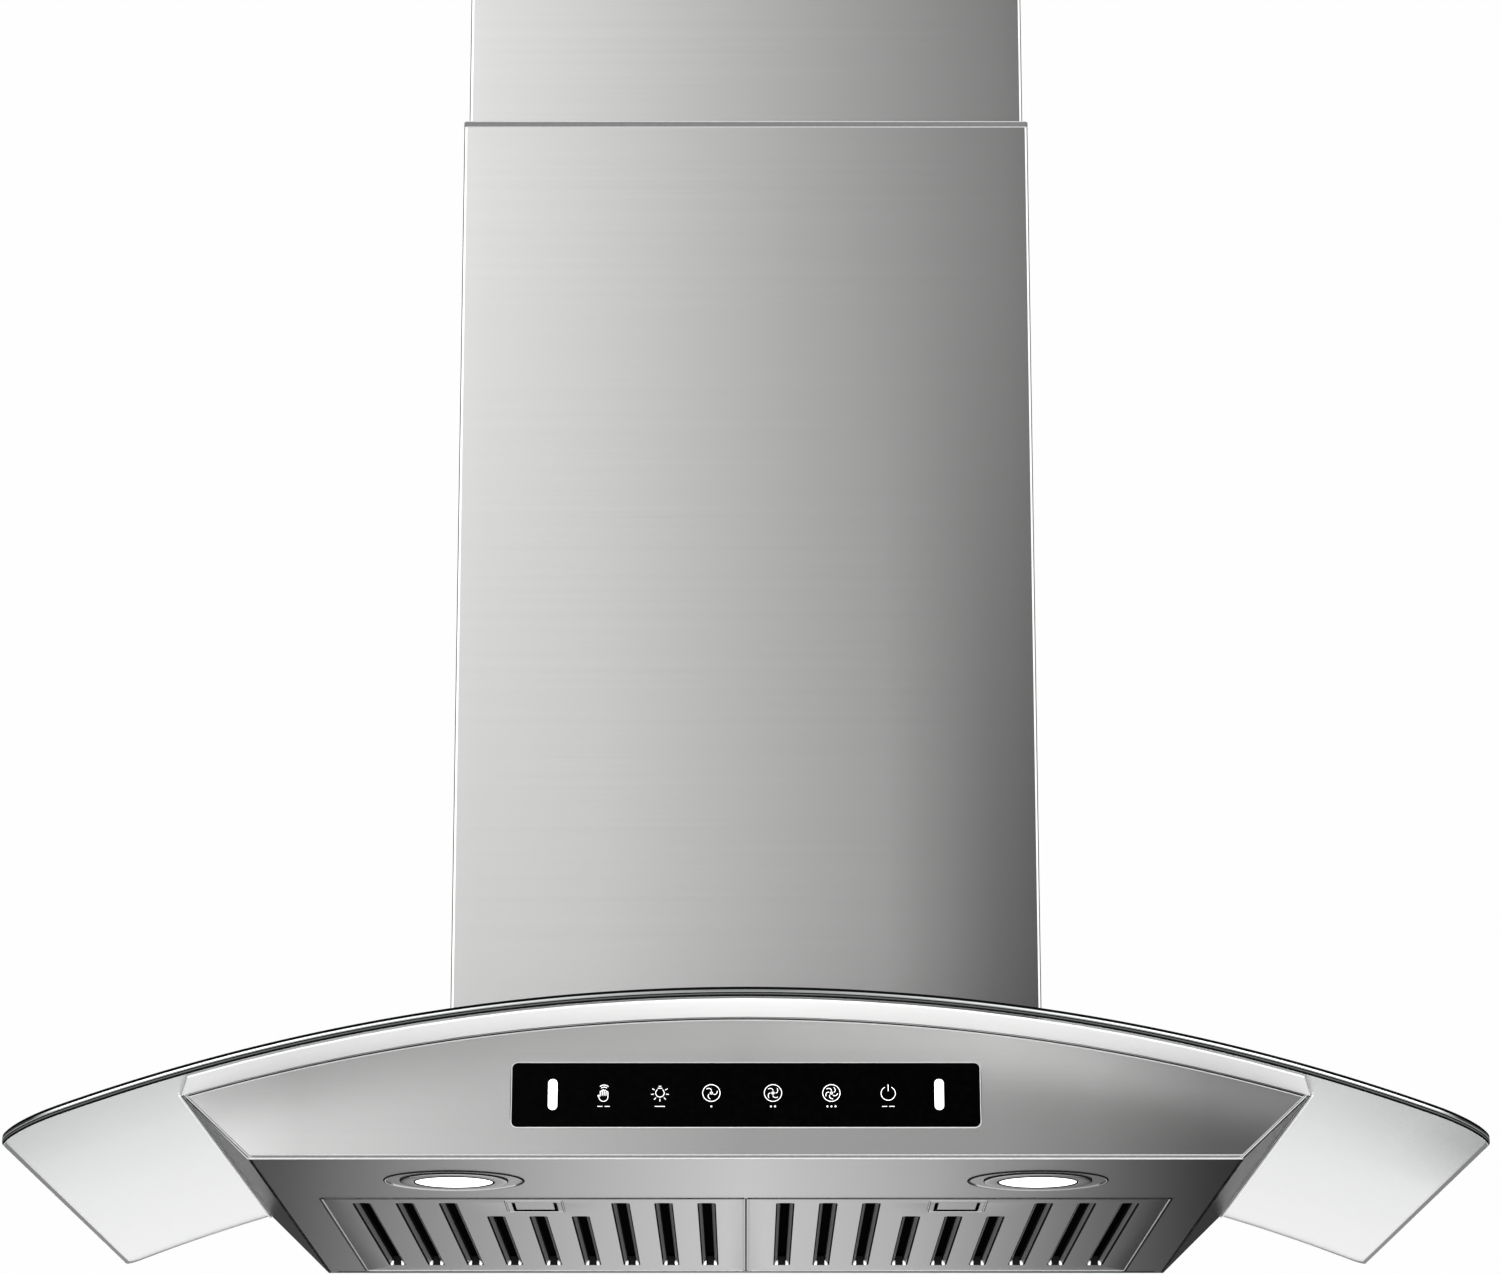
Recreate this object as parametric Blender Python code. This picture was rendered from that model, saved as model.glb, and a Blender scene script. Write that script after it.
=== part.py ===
"""Island range hood with a curved glass canopy, hung from the ceiling by a telescoping frame.

Everything is modelled in hood coordinates, in metres: x to the right, y back from the underside's
front fold, z up from the flat underside. The empty "hood" carries those coordinates to the part's own
frame, whose origin is the centre of the ceiling plate's top face. Left and right are as the cook sees
them, facing the control panel and looking along +y.
"""

import math

import bmesh
import bpy
from mathutils import Matrix, Vector

# ---------------------------------------------------------------- driving dimensions
GAP = 0.0003  # kept between pieces that touch
SHEET = 0.001  # stainless sheet
HANG = 0.870  # ceiling down to the flat underside

BODY_DEPTH = 0.4868
UNDERSIDE_HALF = 0.2565  # half width of the flat underside
SHOULDER_HALF = 0.292  # half width where the sloping sides meet the glass
SIDE_INSET = 0.0002  # of the side sheets from the ends of the front and rear panels
SIDE_THICK = 0.0014  # across, so that the sloping sheet comes to SHEET
FRONT_LEAN = 0.14  # how far the front panel leans back for each metre of rise

GLASS_HALF = 0.381
GLASS_THICK = 0.005
GLASS_RADIUS = 1.028  # bend radius of the glass, to its lower face
GLASS_CROWN = 0.0775  # lower face at the middle
GLASS_FRONT = -0.0425
GLASS_CORNER = 0.031  # front corners, in plan
GLASS_REAR_CORNER = 0.009
CORNER_SHARE = (0.86, 0.80)  # of the front and rear corner radius that the end facets take in
GASKET_X = (0.279, 0.287)
GASKET_Y = (0.018, 0.4808)
CUTOUT_HALF = (0.155, 0.135)  # passage for the blower through glass and top plate
PLATE_DROP = 0.002  # top plate below the glass, the thickness of the rubber gaskets
PLATE_HALF = SHOULDER_HALF - 0.004
PLATE_FRONT = 0.0135
FLANGE_FRONT = GLASS_FRONT + 0.003
FLANGE_THICK = 0.0009
FLANGE_TAPER = 0.008  # how much narrower the flange is at its front

CHIMNEY_HALF = (0.160, 0.140)
CHIMNEY_TOP = 0.6074
UPPER_HALF = (0.1573, 0.1373)
UPPER_LOW = 0.545
UPPER_TOP = HANG - 0.002
SEAM = 0.0004  # half the gap between the front and rear covers
MIDDLE_Y = BODY_DEPTH / 2

RING_TOP = 0.0600
RING_THICK = 0.003
RING_HALF = (0.167, 0.150)
RING_INSIDE = (0.135, 0.115)
BLOWER_HALF = (0.149, 0.129)
BLOWER_LOW = RING_TOP + GAP
BLOWER_TOP = 0.372
POST_HALF = (0.153, 0.133)  # outer corner of the frame's lower angles
POST_LEG = 0.025
POST_THICK = 0.002
POST_TOP = 0.560
EXTENSION_LOW = 0.430
CEILING_THICK = 0.003
BRACE_Z = 0.700
BRACE_HEIGHT = 0.025
BRACE_THICK = 0.002

SCROLL_AXIS = (MIDDLE_Y - 0.022, 0.187)  # y and z of the wheel's shaft
SCROLL_HALF_WIDTH = 0.070
SCROLL_WALL = 0.0012
SCROLL_EYE = 0.060  # radius of the air inlet in each side
SCROLL_TOP = 0.368
WHEEL_RADIUS = 0.075
WHEEL_HALF_WIDTH = 0.062
BLADES = 24
RING_INNER_RADIUS = 0.064  # of the wheel's end rings
SHAFT_RADIUS = 0.0040
BRACKET_X = 0.0745
BOX_X = (0.094, 0.146)  # terminal box
BOX_HALF_DEPTH = 0.045
BOX_HEIGHT = 0.040
COLLAR_RADIUS = 0.075
COLLAR_TOP = 0.432
FLAP_Z = 0.388
FLAP_RADIUS = 0.0715
FLAP_INNER = 0.0046  # straight edge, clear of the knuckles round the rod
KNUCKLE_RADIUS = 0.0034
ROD_RADIUS = 0.0015
COLLAR_WALL = 0.0014
COLLAR_FLANGE = 0.012
OUTLET_RADIUS = 0.072

PANEL_HALF = (0.12165, 0.016)  # control panel's outline
PANEL_RISE = 0.0346  # its middle, up the front panel
PANEL_CORNER = 0.004
BEZEL_BORDER = 0.0014
SENSOR_X = 0.100
SENSOR_HALF = (0.0024, 0.0083)

LAMP_X = 0.155
LAMP_Y = 0.0788
LAMP_LENS = 0.020
LAMP_RING = 0.0287
LAMP_HOLE = 0.027

FILTER_OPENING = (0.233, 0.1478, 0.4765)  # half width, front and rear of the opening
FILTER_FRONT = 0.1485
FILTER_REAR = 0.4759
FILTER_INNER = 0.0004  # filter's edge from the middle plane
FILTER_OUTER = 0.2325
FILTER_TOP = 0.011
FILTER_PIVOT = (0.474, 0.001)
SLOT_PITCH = 0.0237
SLOT_HALF = 0.0046
SLOT_REAR = 0.447
LONG_SLOT_FRONT = 0.167
SHORT_SLOT_FRONT = 0.222
FILTER_SHEET = 0.0008
FILTER_RIM = 0.0010
BAFFLE_LOW = 0.0070
BAFFLE_HALF = SLOT_PITCH / 2 - 0.0030
TONGUE_OFFSET = 0.075
TONGUE_HALF = 0.014
TONGUE_END = 0.4820
RECESS = (0.0125, 0.1657, 0.2003)  # latch recess: half width, front and rear
HANDLE = (0.0105, 0.166, 0.194)

COLOURS = {  # colour, roughness, metallic
    "brushed_steel": ((0.62, 0.62, 0.61), 0.32, 1.0),
    "galvanised_steel": ((0.55, 0.57, 0.59), 0.45, 1.0),
    "white_lacquer": ((0.85, 0.85, 0.845), 0.35, 0.0),
    "polished_steel": ((0.78, 0.78, 0.78), 0.12, 1.0),
    "clear_glass": ((0.80, 0.86, 0.84), 0.03, 0.0),
    "black_glass": ((0.008, 0.008, 0.009), 0.06, 0.0),
    "sensor_white": ((0.93, 0.94, 0.94), 0.25, 0.0),
    "lamp_lens": ((0.96, 0.96, 0.93), 0.30, 0.0),
    "aluminium": ((0.70, 0.71, 0.72), 0.40, 1.0),
    "black_plastic": ((0.02, 0.02, 0.022), 0.50, 0.0),
    "white_plastic": ((0.80, 0.80, 0.78), 0.45, 0.0),
    "green_board": ((0.03, 0.17, 0.07), 0.45, 0.0),
    "rubber": ((0.03, 0.03, 0.03), 0.80, 0.0),
    "motor_steel": ((0.28, 0.29, 0.30), 0.40, 1.0),
}


# ---------------------------------------------------------------- helpers
def clear_scene():
    for obj in list(bpy.data.objects):
        bpy.data.objects.remove(obj, do_unlink=True)


def make_material(name):
    colour, roughness, metallic = COLOURS[name]
    material = bpy.data.materials.new(name)
    material.use_nodes = True
    shader = material.node_tree.nodes["Principled BSDF"]
    shader.inputs["Base Color"].default_value = (*colour, 1.0)
    shader.inputs["Roughness"].default_value = roughness
    shader.inputs["Metallic"].default_value = metallic
    return material


def empty(name, location, parent=None):
    obj = bpy.data.objects.new(name, None)
    obj.location = location
    obj.parent = parent
    bpy.context.scene.collection.objects.link(obj)
    return obj


def finish_object(name, bm, material, parent, pivot=(0.0, 0.0, 0.0), smooth_deg=None):
    """An object from hood coordinates. Its origin is put on pivot, which a moving piece has on its axis."""
    bmesh.ops.recalc_face_normals(bm, faces=bm.faces)
    bmesh.ops.translate(bm, verts=bm.verts, vec=-Vector(pivot))
    mesh = bpy.data.meshes.new(name)
    bm.to_mesh(mesh)
    bm.free()
    if smooth_deg is not None:
        mesh.shade_smooth()
        mesh.set_sharp_from_angle(angle=math.radians(smooth_deg))
    obj = bpy.data.objects.new(name, mesh)
    obj.location = pivot
    obj.parent = parent
    obj.data.materials.append(MATERIALS[material])
    bpy.context.scene.collection.objects.link(obj)
    return obj


def add_box(bm, low, high):
    centre = [(a + b) / 2 for a, b in zip(low, high)]
    size = [b - a for a, b in zip(low, high)]
    matrix = Matrix.Translation(centre) @ Matrix.Diagonal((*size, 1.0))
    bmesh.ops.create_cube(bm, size=1.0, matrix=matrix)


def add_cylinder(bm, axis, centre, radius, length, sides=32):
    """A closed cylinder along axis "X", "Y" or "Z", centred on centre."""
    turn = {
        "X": Matrix.Rotation(math.radians(90), 4, "Y"),
        "Y": Matrix.Rotation(math.radians(90), 4, "X"),
        "Z": Matrix.Identity(4),
    }[axis]
    matrix = Matrix.Translation(centre) @ turn
    bmesh.ops.create_cone(
        bm, cap_ends=True, segments=sides, radius1=radius, radius2=radius, depth=length, matrix=matrix
    )


def add_prism(bm, outline, place, start, end):
    """Extrudes a closed outline of 2-D points. place(a, b, t) gives the 3-D point at depth t."""
    near = [bm.verts.new(place(a, b, start)) for a, b in outline]
    far = [bm.verts.new(place(a, b, end)) for a, b in outline]
    bm.faces.new(near)
    bm.faces.new(list(reversed(far)))
    count = len(outline)
    for i in range(count):
        j = (i + 1) % count
        bm.faces.new((near[i], near[j], far[j], far[i]))


def add_turned(bm, profile, centre, sides=40):
    """Turns a closed profile of (radius, z) points about the vertical line through centre."""
    rings = []
    for k in range(sides):
        angle = 2 * math.pi * k / sides
        ring = [
            bm.verts.new((centre[0] + r * math.cos(angle), centre[1] + r * math.sin(angle), centre[2] + z))
            for r, z in profile
        ]
        rings.append(ring)
    count = len(profile)
    for k in range(sides):
        a, b = rings[k], rings[(k + 1) % sides]
        for i in range(count):
            j = (i + 1) % count
            bm.faces.new((a[i], a[j], b[j], b[i]))


def add_lathe(bm, profile, centre, sides=32):
    """Turns a profile that starts and ends on the axis into a closed solid."""
    rings = []
    for r, z in profile:
        if r == 0.0:
            rings.append([bm.verts.new((centre[0], centre[1], centre[2] + z))])
            continue
        ring = []
        for k in range(sides):
            angle = 2 * math.pi * k / sides
            point = (centre[0] + r * math.cos(angle), centre[1] + r * math.sin(angle), centre[2] + z)
            ring.append(bm.verts.new(point))
        rings.append(ring)
    for low, high in zip(rings, rings[1:]):
        for k in range(sides):
            n = (k + 1) % sides
            if len(low) == 1:
                bm.faces.new((low[0], high[n], high[k]))
            elif len(high) == 1:
                bm.faces.new((low[k], low[n], high[0]))
            else:
                bm.faces.new((low[k], low[n], high[n], high[k]))
    return bm


def add_slab(bm, us, vs, keep, place):
    """A closed slab over a grid of cells. keep(i, j) says whether a cell is there, and
    place(u, v, side) gives the point of the grid on side 0 or side 1."""
    verts = {}

    def vert(i, j, side):
        if (i, j, side) not in verts:
            verts[i, j, side] = bm.verts.new(place(us[i], vs[j], side))
        return verts[i, j, side]

    cells = {(i, j) for i in range(len(us) - 1) for j in range(len(vs) - 1) if keep(i, j)}
    for i, j in cells:
        corners = [(i, j), (i + 1, j), (i + 1, j + 1), (i, j + 1)]
        bm.faces.new([vert(*c, 1) for c in corners])
        bm.faces.new([vert(*c, 0) for c in reversed(corners)])
        beside = [(i, j - 1), (i + 1, j), (i, j + 1), (i - 1, j)]
        for k in range(4):
            if beside[k] not in cells:
                a, b = corners[k], corners[(k + 1) % 4]
                bm.faces.new((vert(*a, 0), vert(*b, 0), vert(*b, 1), vert(*a, 1)))


def ground(a, b, t):
    return (a, b, t)


def rounded_rectangle(half_w, half_h, corner, steps=6):
    points = []
    for quarter in range(4):
        sx = (1, -1, -1, 1)[quarter]
        sy = (1, 1, -1, -1)[quarter]
        for k in range(steps + 1):
            angle = math.radians(90) * (quarter + k / steps)
            points.append(
                (
                    sx * (half_w - corner) + corner * math.cos(angle),
                    sy * (half_h - corner) + corner * math.sin(angle),
                )
            )
    return points


def cutter(name, parent, fill):
    """A hidden mesh that a Boolean takes away."""
    bm = bmesh.new()
    fill(bm)
    obj = finish_object(name, bm, "galvanised_steel", parent)
    obj.hide_render = True
    obj.display_type = "WIRE"
    return obj


def cut(obj, tool):
    modifier = obj.modifiers.new("cut", "BOOLEAN")
    modifier.operation = "DIFFERENCE"
    modifier.solver = "EXACT"
    modifier.object = tool


def join(obj, tool):
    """Adds a hidden mesh to obj with a Boolean union, so that both become one body."""
    modifier = obj.modifiers.new("join", "BOOLEAN")
    modifier.operation = "UNION"
    modifier.solver = "EXACT"
    modifier.use_self = True
    modifier.object = tool


def stations(limit, count, extra=()):
    """Evenly spaced places from -limit to limit, with the extra ones on both sides."""
    even = [limit * (2 * k / count - 1) for k in range(count + 1)]
    wanted = [s * e for e in extra for s in (-1, 1)]
    kept = [x for x in even if all(abs(x - w) > 0.004 for w in wanted)]
    return sorted(kept + wanted)


# ---------------------------------------------------------------- the curve of the canopy
def arch(x, rise=0.0):
    """Height, at x, of the arc that lies rise above the lower face of the glass."""
    radius = GLASS_RADIUS + rise
    return GLASS_CROWN + rise - (radius - math.sqrt(radius * radius - x * x))


def glass_edge(x, corner, half=GLASS_HALF):
    """How far a rounded plan corner pulls the edge in at x."""
    past = abs(x) - (half - corner)
    if past <= 0:
        return 0.0
    return corner - math.sqrt(max(corner * corner - past * past, 0.0))


def glass_canopy():
    corner_turns = [GLASS_HALF - GLASS_CORNER * (1 - math.sin(math.radians(a))) for a in (0, 20, 40, 58, 74)]
    tips = [GLASS_HALF - GLASS_REAR_CORNER * (1 - math.sin(math.radians(a))) for a in (30, 60)]
    xs = stations(GLASS_HALF, 24, (CUTOUT_HALF[0],))
    xs = [x for x in xs if abs(x) < corner_turns[0] - 0.004 or abs(x) == GLASS_HALF]
    xs = sorted(set(xs + [s * x for x in corner_turns + tips for s in (-1, 1)]))
    rows = [0, 1, 2, 3]
    cut_low = MIDDLE_Y - CUTOUT_HALF[1]
    cut_high = MIDDLE_Y + CUTOUT_HALF[1]

    def place(x, row, side):
        pulled_front = min(glass_edge(x, GLASS_CORNER), GLASS_CORNER * CORNER_SHARE[0])
        pulled_rear = min(glass_edge(x, GLASS_REAR_CORNER), GLASS_REAR_CORNER * CORNER_SHARE[1])
        front = GLASS_FRONT + pulled_front
        rear = BODY_DEPTH - pulled_rear
        return (x, (front, cut_low, cut_high, rear)[row], arch(x, side * GLASS_THICK))

    def keep(i, j):
        inside = abs(xs[i] + xs[i + 1]) / 2 < CUTOUT_HALF[0]
        return not (j == 1 and inside)

    bm = bmesh.new()
    add_slab(bm, xs, rows, keep, place)
    return finish_object("glass_canopy", bm, "clear_glass", HOOD, smooth_deg=30)


def glass_gaskets():
    """Rubber strips that the glass rests on, along both shoulders of the top plate."""
    for side, name in ((-1, "left_glass_gasket"), (1, "right_glass_gasket")):
        xs = sorted(side * x for x in GASKET_X)

        def place(x, y, top):
            return (x, y, arch(x, GAP - PLATE_DROP + top * (PLATE_DROP - 2.6 * GAP)))

        bm = bmesh.new()
        add_slab(bm, xs, GASKET_Y, lambda i, j: True, place)
        finish_object(name, bm, "rubber", HOOD)


# ---------------------------------------------------------------- body shell
def lean(z):
    return FRONT_LEAN * z


def shell_outline(share, rise):
    """Point of the body's front outline. share runs -1 to 1 across, rise 0 to 1 from fold to glass."""
    bottom = Vector((UNDERSIDE_HALF * share, 0.0))
    top_x = SHOULDER_HALF * share
    top = Vector((top_x, arch(top_x) - GAP))
    return bottom.lerp(top, rise)


def end_panel(name, front):
    """The front or rear sheet of the body: flat underside edge, sloping ends, arched top."""
    shares = stations(1.0, 20)

    def place(share, rise, side):
        x, z = shell_outline(share, rise)
        y = lean(z) + side * SHEET if front else BODY_DEPTH - SHEET + side * SHEET
        return (x, y, z)

    bm = bmesh.new()
    add_slab(bm, shares, [0.0, 1.0], lambda i, j: True, place)
    return finish_object(name, bm, "brushed_steel", HOOD)


def front_panel():
    panel = end_panel("front_panel", True)
    hole = rounded_rectangle(PANEL_HALF[0] + GAP, PANEL_HALF[1] + GAP, PANEL_CORNER, 4)
    tool = cutter(
        "front_panel_hole", FACE, lambda bm: add_prism(bm, hole, lambda a, b, t: (a, t, b), -0.01, 0.012)
    )
    tool.location = (0.0, 0.0, PANEL_RISE)
    cut(panel, tool)


def side_panels():
    """Sloping sheets from the underside's edge up to the shoulder."""
    y_far = BODY_DEPTH - SHEET - GAP
    y_near = SHEET + GAP
    foot = (UNDERSIDE_HALF - SIDE_INSET, 0.0)
    head = (SHOULDER_HALF - 2 * SIDE_INSET, arch(SHOULDER_HALF) - SHEET)
    section = [foot, head, (head[0] - SIDE_THICK, head[1]), (foot[0] - SIDE_THICK, foot[1])]
    for side, name in ((-1, "left_side_panel"), (1, "right_side_panel")):
        bm = bmesh.new()
        near = [bm.verts.new((side * x, y_near + lean(z), z)) for x, z in section]
        far = [bm.verts.new((side * x, y_far, z)) for x, z in section]
        bm.faces.new(near)
        bm.faces.new(list(reversed(far)))
        for k in range(4):
            n = (k + 1) % 4
            bm.faces.new((near[k], near[n], far[n], far[k]))
        finish_object(name, bm, "brushed_steel", HOOD)


def underside_panel():
    """Flat sheet with one opening for the two filters and two lamp holes."""
    half = UNDERSIDE_HALF - SIDE_INSET - SIDE_THICK - GAP
    xs = [-half, -FILTER_OPENING[0], FILTER_OPENING[0], half]
    ys = [SHEET + GAP, FILTER_OPENING[1], FILTER_OPENING[2], BODY_DEPTH - SHEET - GAP]
    bm = bmesh.new()
    add_slab(bm, xs, ys, lambda i, j: (i, j) != (1, 1), lambda x, y, side: (x, y, side * SHEET))
    panel = finish_object("underside_panel", bm, "brushed_steel", HOOD)
    for side, name in ((-1, "left_lamp_hole"), (1, "right_lamp_hole")):
        centre = (side * LAMP_X, LAMP_Y, 0.0)
        cut(panel, cutter(name, HOOD, lambda bm: add_cylinder(bm, "Z", centre, LAMP_HOLE, 0.01, 40)))


def top_plate():
    """Arched sheet under the glass, with the blower's rectangular cut-out."""
    xs = stations(PLATE_HALF, 16, (CUTOUT_HALF[0],))
    rows = [PLATE_FRONT, MIDDLE_Y - CUTOUT_HALF[1], MIDDLE_Y + CUTOUT_HALF[1], BODY_DEPTH - SHEET - GAP]

    def keep(i, j):
        return not (j == 1 and abs(xs[i] + xs[i + 1]) / 2 < CUTOUT_HALF[0])

    bm = bmesh.new()
    add_slab(bm, xs, rows, keep, lambda x, y, side: (x, y, arch(x, -PLATE_DROP - (1 - side) * SHEET)))
    finish_object("top_plate", bm, "brushed_steel", HOOD, smooth_deg=30)


def front_glass_flange():
    """Bright arched strip under the overhang of the glass, from the front panel out to its edge."""
    shares = stations(1.0, 20)

    def place(share, row, side):
        x = share * (SHOULDER_HALF - (FLANGE_TAPER if row == 0 else 0.0))
        z = arch(x, -2 * GAP - (1 - side) * FLANGE_THICK)
        y = FLANGE_FRONT if row == 0 else lean(z) - 2 * GAP
        return (x, y, z)

    bm = bmesh.new()
    add_slab(bm, shares, [0, 1], lambda i, j: True, place)
    finish_object("front_glass_flange", bm, "white_lacquer", HOOD, smooth_deg=30)


def mounting_ring():
    """Flat steel frame under the top plate that carries the blower box and the frame's posts."""
    xs = [-RING_HALF[0], -RING_INSIDE[0], RING_INSIDE[0], RING_HALF[0]]
    ys = [MIDDLE_Y + y for y in (-RING_HALF[1], -RING_INSIDE[1], RING_INSIDE[1], RING_HALF[1])]
    bm = bmesh.new()
    add_slab(
        bm,
        xs,
        ys,
        lambda i, j: (i, j) != (1, 1),
        lambda x, y, side: (x, y, RING_TOP - (1 - side) * RING_THICK),
    )
    finish_object("mounting_ring", bm, "galvanised_steel", HOOD)


# ---------------------------------------------------------------- control panel
def face_place(a, b, t):
    """Across, into the panel and up, in the leaning face's own axes."""
    return (a, t, b + PANEL_RISE)


def ring_prism(bm, outer, inner, start, end):
    """A closed frame between two outlines with the same number of points."""
    loops = [
        [bm.verts.new(face_place(a, b, t)) for a, b in outline]
        for outline, t in ((outer, start), (outer, end), (inner, end), (inner, start))
    ]
    count = len(outer)
    for k in range(4):
        one, two = loops[k], loops[(k + 1) % 4]
        for i in range(count):
            j = (i + 1) % count
            bm.faces.new((one[i], one[j], two[j], two[i]))


def control_panel():
    outer = rounded_rectangle(PANEL_HALF[0], PANEL_HALF[1], PANEL_CORNER, 4)
    inner_half = (PANEL_HALF[0] - BEZEL_BORDER, PANEL_HALF[1] - BEZEL_BORDER)
    inner = rounded_rectangle(*inner_half, PANEL_CORNER - BEZEL_BORDER, 4)
    bm = bmesh.new()
    ring_prism(bm, outer, inner, -0.0008, 0.004)
    finish_object("control_bezel", bm, "polished_steel", FACE)

    glass_half = (inner_half[0] - GAP, inner_half[1] - GAP)
    pane = rounded_rectangle(*glass_half, PANEL_CORNER - BEZEL_BORDER - GAP, 4)
    bm = bmesh.new()
    add_prism(bm, pane, face_place, -0.0005, 0.0025)
    glass = finish_object("control_panel_glass", bm, "black_glass", FACE)
    wide, tall = SENSOR_HALF
    for side, name in ((-1, "left_sensor_window"), (1, "right_sensor_window")):
        def across(a, b, t, side=side):
            return face_place(a + side * SENSOR_X, b, t)

        hole = rounded_rectangle(wide + GAP, tall + GAP, wide, 5)
        cut(glass, cutter(name + "_hole", FACE, lambda bm: add_prism(bm, hole, across, -0.002, 0.005)))
        bm = bmesh.new()
        add_prism(bm, rounded_rectangle(wide, tall, wide - 0.0001, 5), across, -0.0005, 0.0024)
        finish_object(name, bm, "sensor_white", FACE)

    board_low = (-0.112, 0.0032, PANEL_RISE - 0.0125)
    board_high = (0.112, 0.0048, PANEL_RISE + 0.0125)
    bm = bmesh.new()
    add_box(bm, board_low, board_high)
    finish_object("control_board", bm, "green_board", FACE)

    # An open plastic tray that closes the board in from behind.
    low = (-0.118, 0.0046, PANEL_RISE - 0.0142)
    high = (0.118, 0.0166, PANEL_RISE + 0.0142)
    bm = bmesh.new()
    add_box(bm, low, high)
    cover = finish_object("control_board_cover", bm, "black_plastic", FACE)
    wall = 0.0014
    cut(
        cover,
        cutter(
            "control_board_cover_inside",
            FACE,
            lambda bm: add_box(
                bm,
                (low[0] + wall, low[1] - 0.01, low[2] + wall),
                (high[0] - wall, high[1] - wall, high[2] - wall),
            ),
        ),
    )


# ---------------------------------------------------------------- lamps
def lamps():
    for side, word in ((-1, "left"), (1, "right")):
        centre = (side * LAMP_X, LAMP_Y, 0.0)
        inner = LAMP_LENS + GAP
        collar = LAMP_HOLE - 2 * GAP
        ring = [
            (inner, -0.0012),
            (LAMP_RING - 0.001, -0.0012),
            (LAMP_RING, -GAP),
            (collar, -GAP),
            (collar, 0.003),
            (inner, 0.003),
        ]
        bm = bmesh.new()
        add_turned(bm, ring, centre)
        finish_object(word + "_lamp_bezel", bm, "polished_steel", HOOD, smooth_deg=30)

        bm = bmesh.new()
        add_cylinder(bm, "Z", (centre[0], centre[1], 0.0007), LAMP_LENS, 0.0030, 40)
        finish_object(word + "_lamp_lens", bm, "lamp_lens", HOOD, smooth_deg=30)

        fins = [(0.0, 0.0033), (collar, 0.0033), (collar, 0.0060)]
        for k in range(3):
            foot = 0.0060 + 0.0055 * k
            fins += [(0.019, foot), (0.019, foot + 0.003), (0.0245, foot + 0.003), (0.0245, foot + 0.0055)]
        fins += [(0.0, fins[-1][1])]
        bm = bmesh.new()
        housing = add_lathe(bm, fins, centre)
        finish_object(word + "_lamp_housing", housing, "aluminium", HOOD, smooth_deg=30)


# ---------------------------------------------------------------- filters and latches
def filter_x(side):
    low, high = FILTER_INNER, FILTER_OUTER
    return (low, high) if side > 0 else (-high, -low)


def slot_range(index):
    front = SHORT_SLOT_FRONT if 3 <= index <= 5 else LONG_SLOT_FRONT
    return front, SLOT_REAR


def filter_face(side, word, pivot):
    """Stamped lower plate with nine slots and the latch recess, built as one grid of cells."""
    low, high = filter_x(side)
    centre = (low + high) / 2
    xs = [low, high]
    for k in range(9):
        middle = centre + (k - 4) * SLOT_PITCH
        xs += [middle - SLOT_HALF, middle + SLOT_HALF]
    xs += [centre - RECESS[0], centre + RECESS[0]]
    xs = sorted(xs)
    ys = [FILTER_FRONT, RECESS[1], LONG_SLOT_FRONT, RECESS[2], SHORT_SLOT_FRONT, SLOT_REAR, FILTER_REAR]

    def keep(i, j):
        x = (xs[i] + xs[i + 1]) / 2
        y = (ys[j] + ys[j + 1]) / 2
        if abs(x - centre) < RECESS[0] and RECESS[1] < y < RECESS[2]:
            return False
        index = round((x - centre) / SLOT_PITCH) + 4
        if 0 <= index <= 8 and abs(x - centre - (index - 4) * SLOT_PITCH) < SLOT_HALF:
            front, rear = slot_range(index)
            return not front < y < rear
        return True

    bm = bmesh.new()
    add_slab(bm, xs, ys, keep, lambda x, y, top: (x, y, top * FILTER_SHEET))
    finish_object(word + "_filter_face", bm, "brushed_steel", HOOD, pivot)


def filter_back(side, word, pivot):
    """Rim with an upper baffle over each slot, and two tongues at the rear that rest on the underside."""
    low, high = filter_x(side)
    centre = (low + high) / 2
    floor, top = FILTER_SHEET + GAP, FILTER_TOP
    xs = [low, low + FILTER_RIM, high - FILTER_RIM, high]
    ys = [FILTER_FRONT, FILTER_FRONT + FILTER_RIM, FILTER_REAR - FILTER_RIM, FILTER_REAR]
    bm = bmesh.new()
    add_slab(bm, xs, ys, lambda i, j: (i, j) != (1, 1), lambda x, y, above: (x, y, (floor, top)[above]))
    back = finish_object(word + "_filter_back", bm, "brushed_steel", HOOD, pivot)

    def fill(bm):
        for k in range(9):
            middle = centre + (k - 4) * SLOT_PITCH
            near, far = FILTER_FRONT + FILTER_RIM / 2, FILTER_REAR - FILTER_RIM / 2
            corner = (middle - BAFFLE_HALF, near, BAFFLE_LOW)
            add_box(bm, corner, (middle + BAFFLE_HALF, far, BAFFLE_LOW + FILTER_SHEET))

    join(back, cutter(word + "_filter_baffles", HOOD, fill))

    def fill_tongues(bm):
        for offset in (-TONGUE_OFFSET, TONGUE_OFFSET):
            x = centre + offset
            corner = (x - TONGUE_HALF, FILTER_REAR - FILTER_RIM / 2, SHEET + GAP)
            add_box(bm, corner, (x + TONGUE_HALF, TONGUE_END, SHEET + GAP + FILTER_SHEET))

    join(back, cutter(word + "_filter_tongues", HOOD, fill_tongues))
    notch = ((centre - 0.0085, FILTER_FRONT - 0.002, 0.0), (centre + 0.0085, FILTER_FRONT + 0.004, 0.0027))
    cut(back, cutter(word + "_filter_notch", HOOD, lambda bm: add_box(bm, *notch)))


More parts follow.
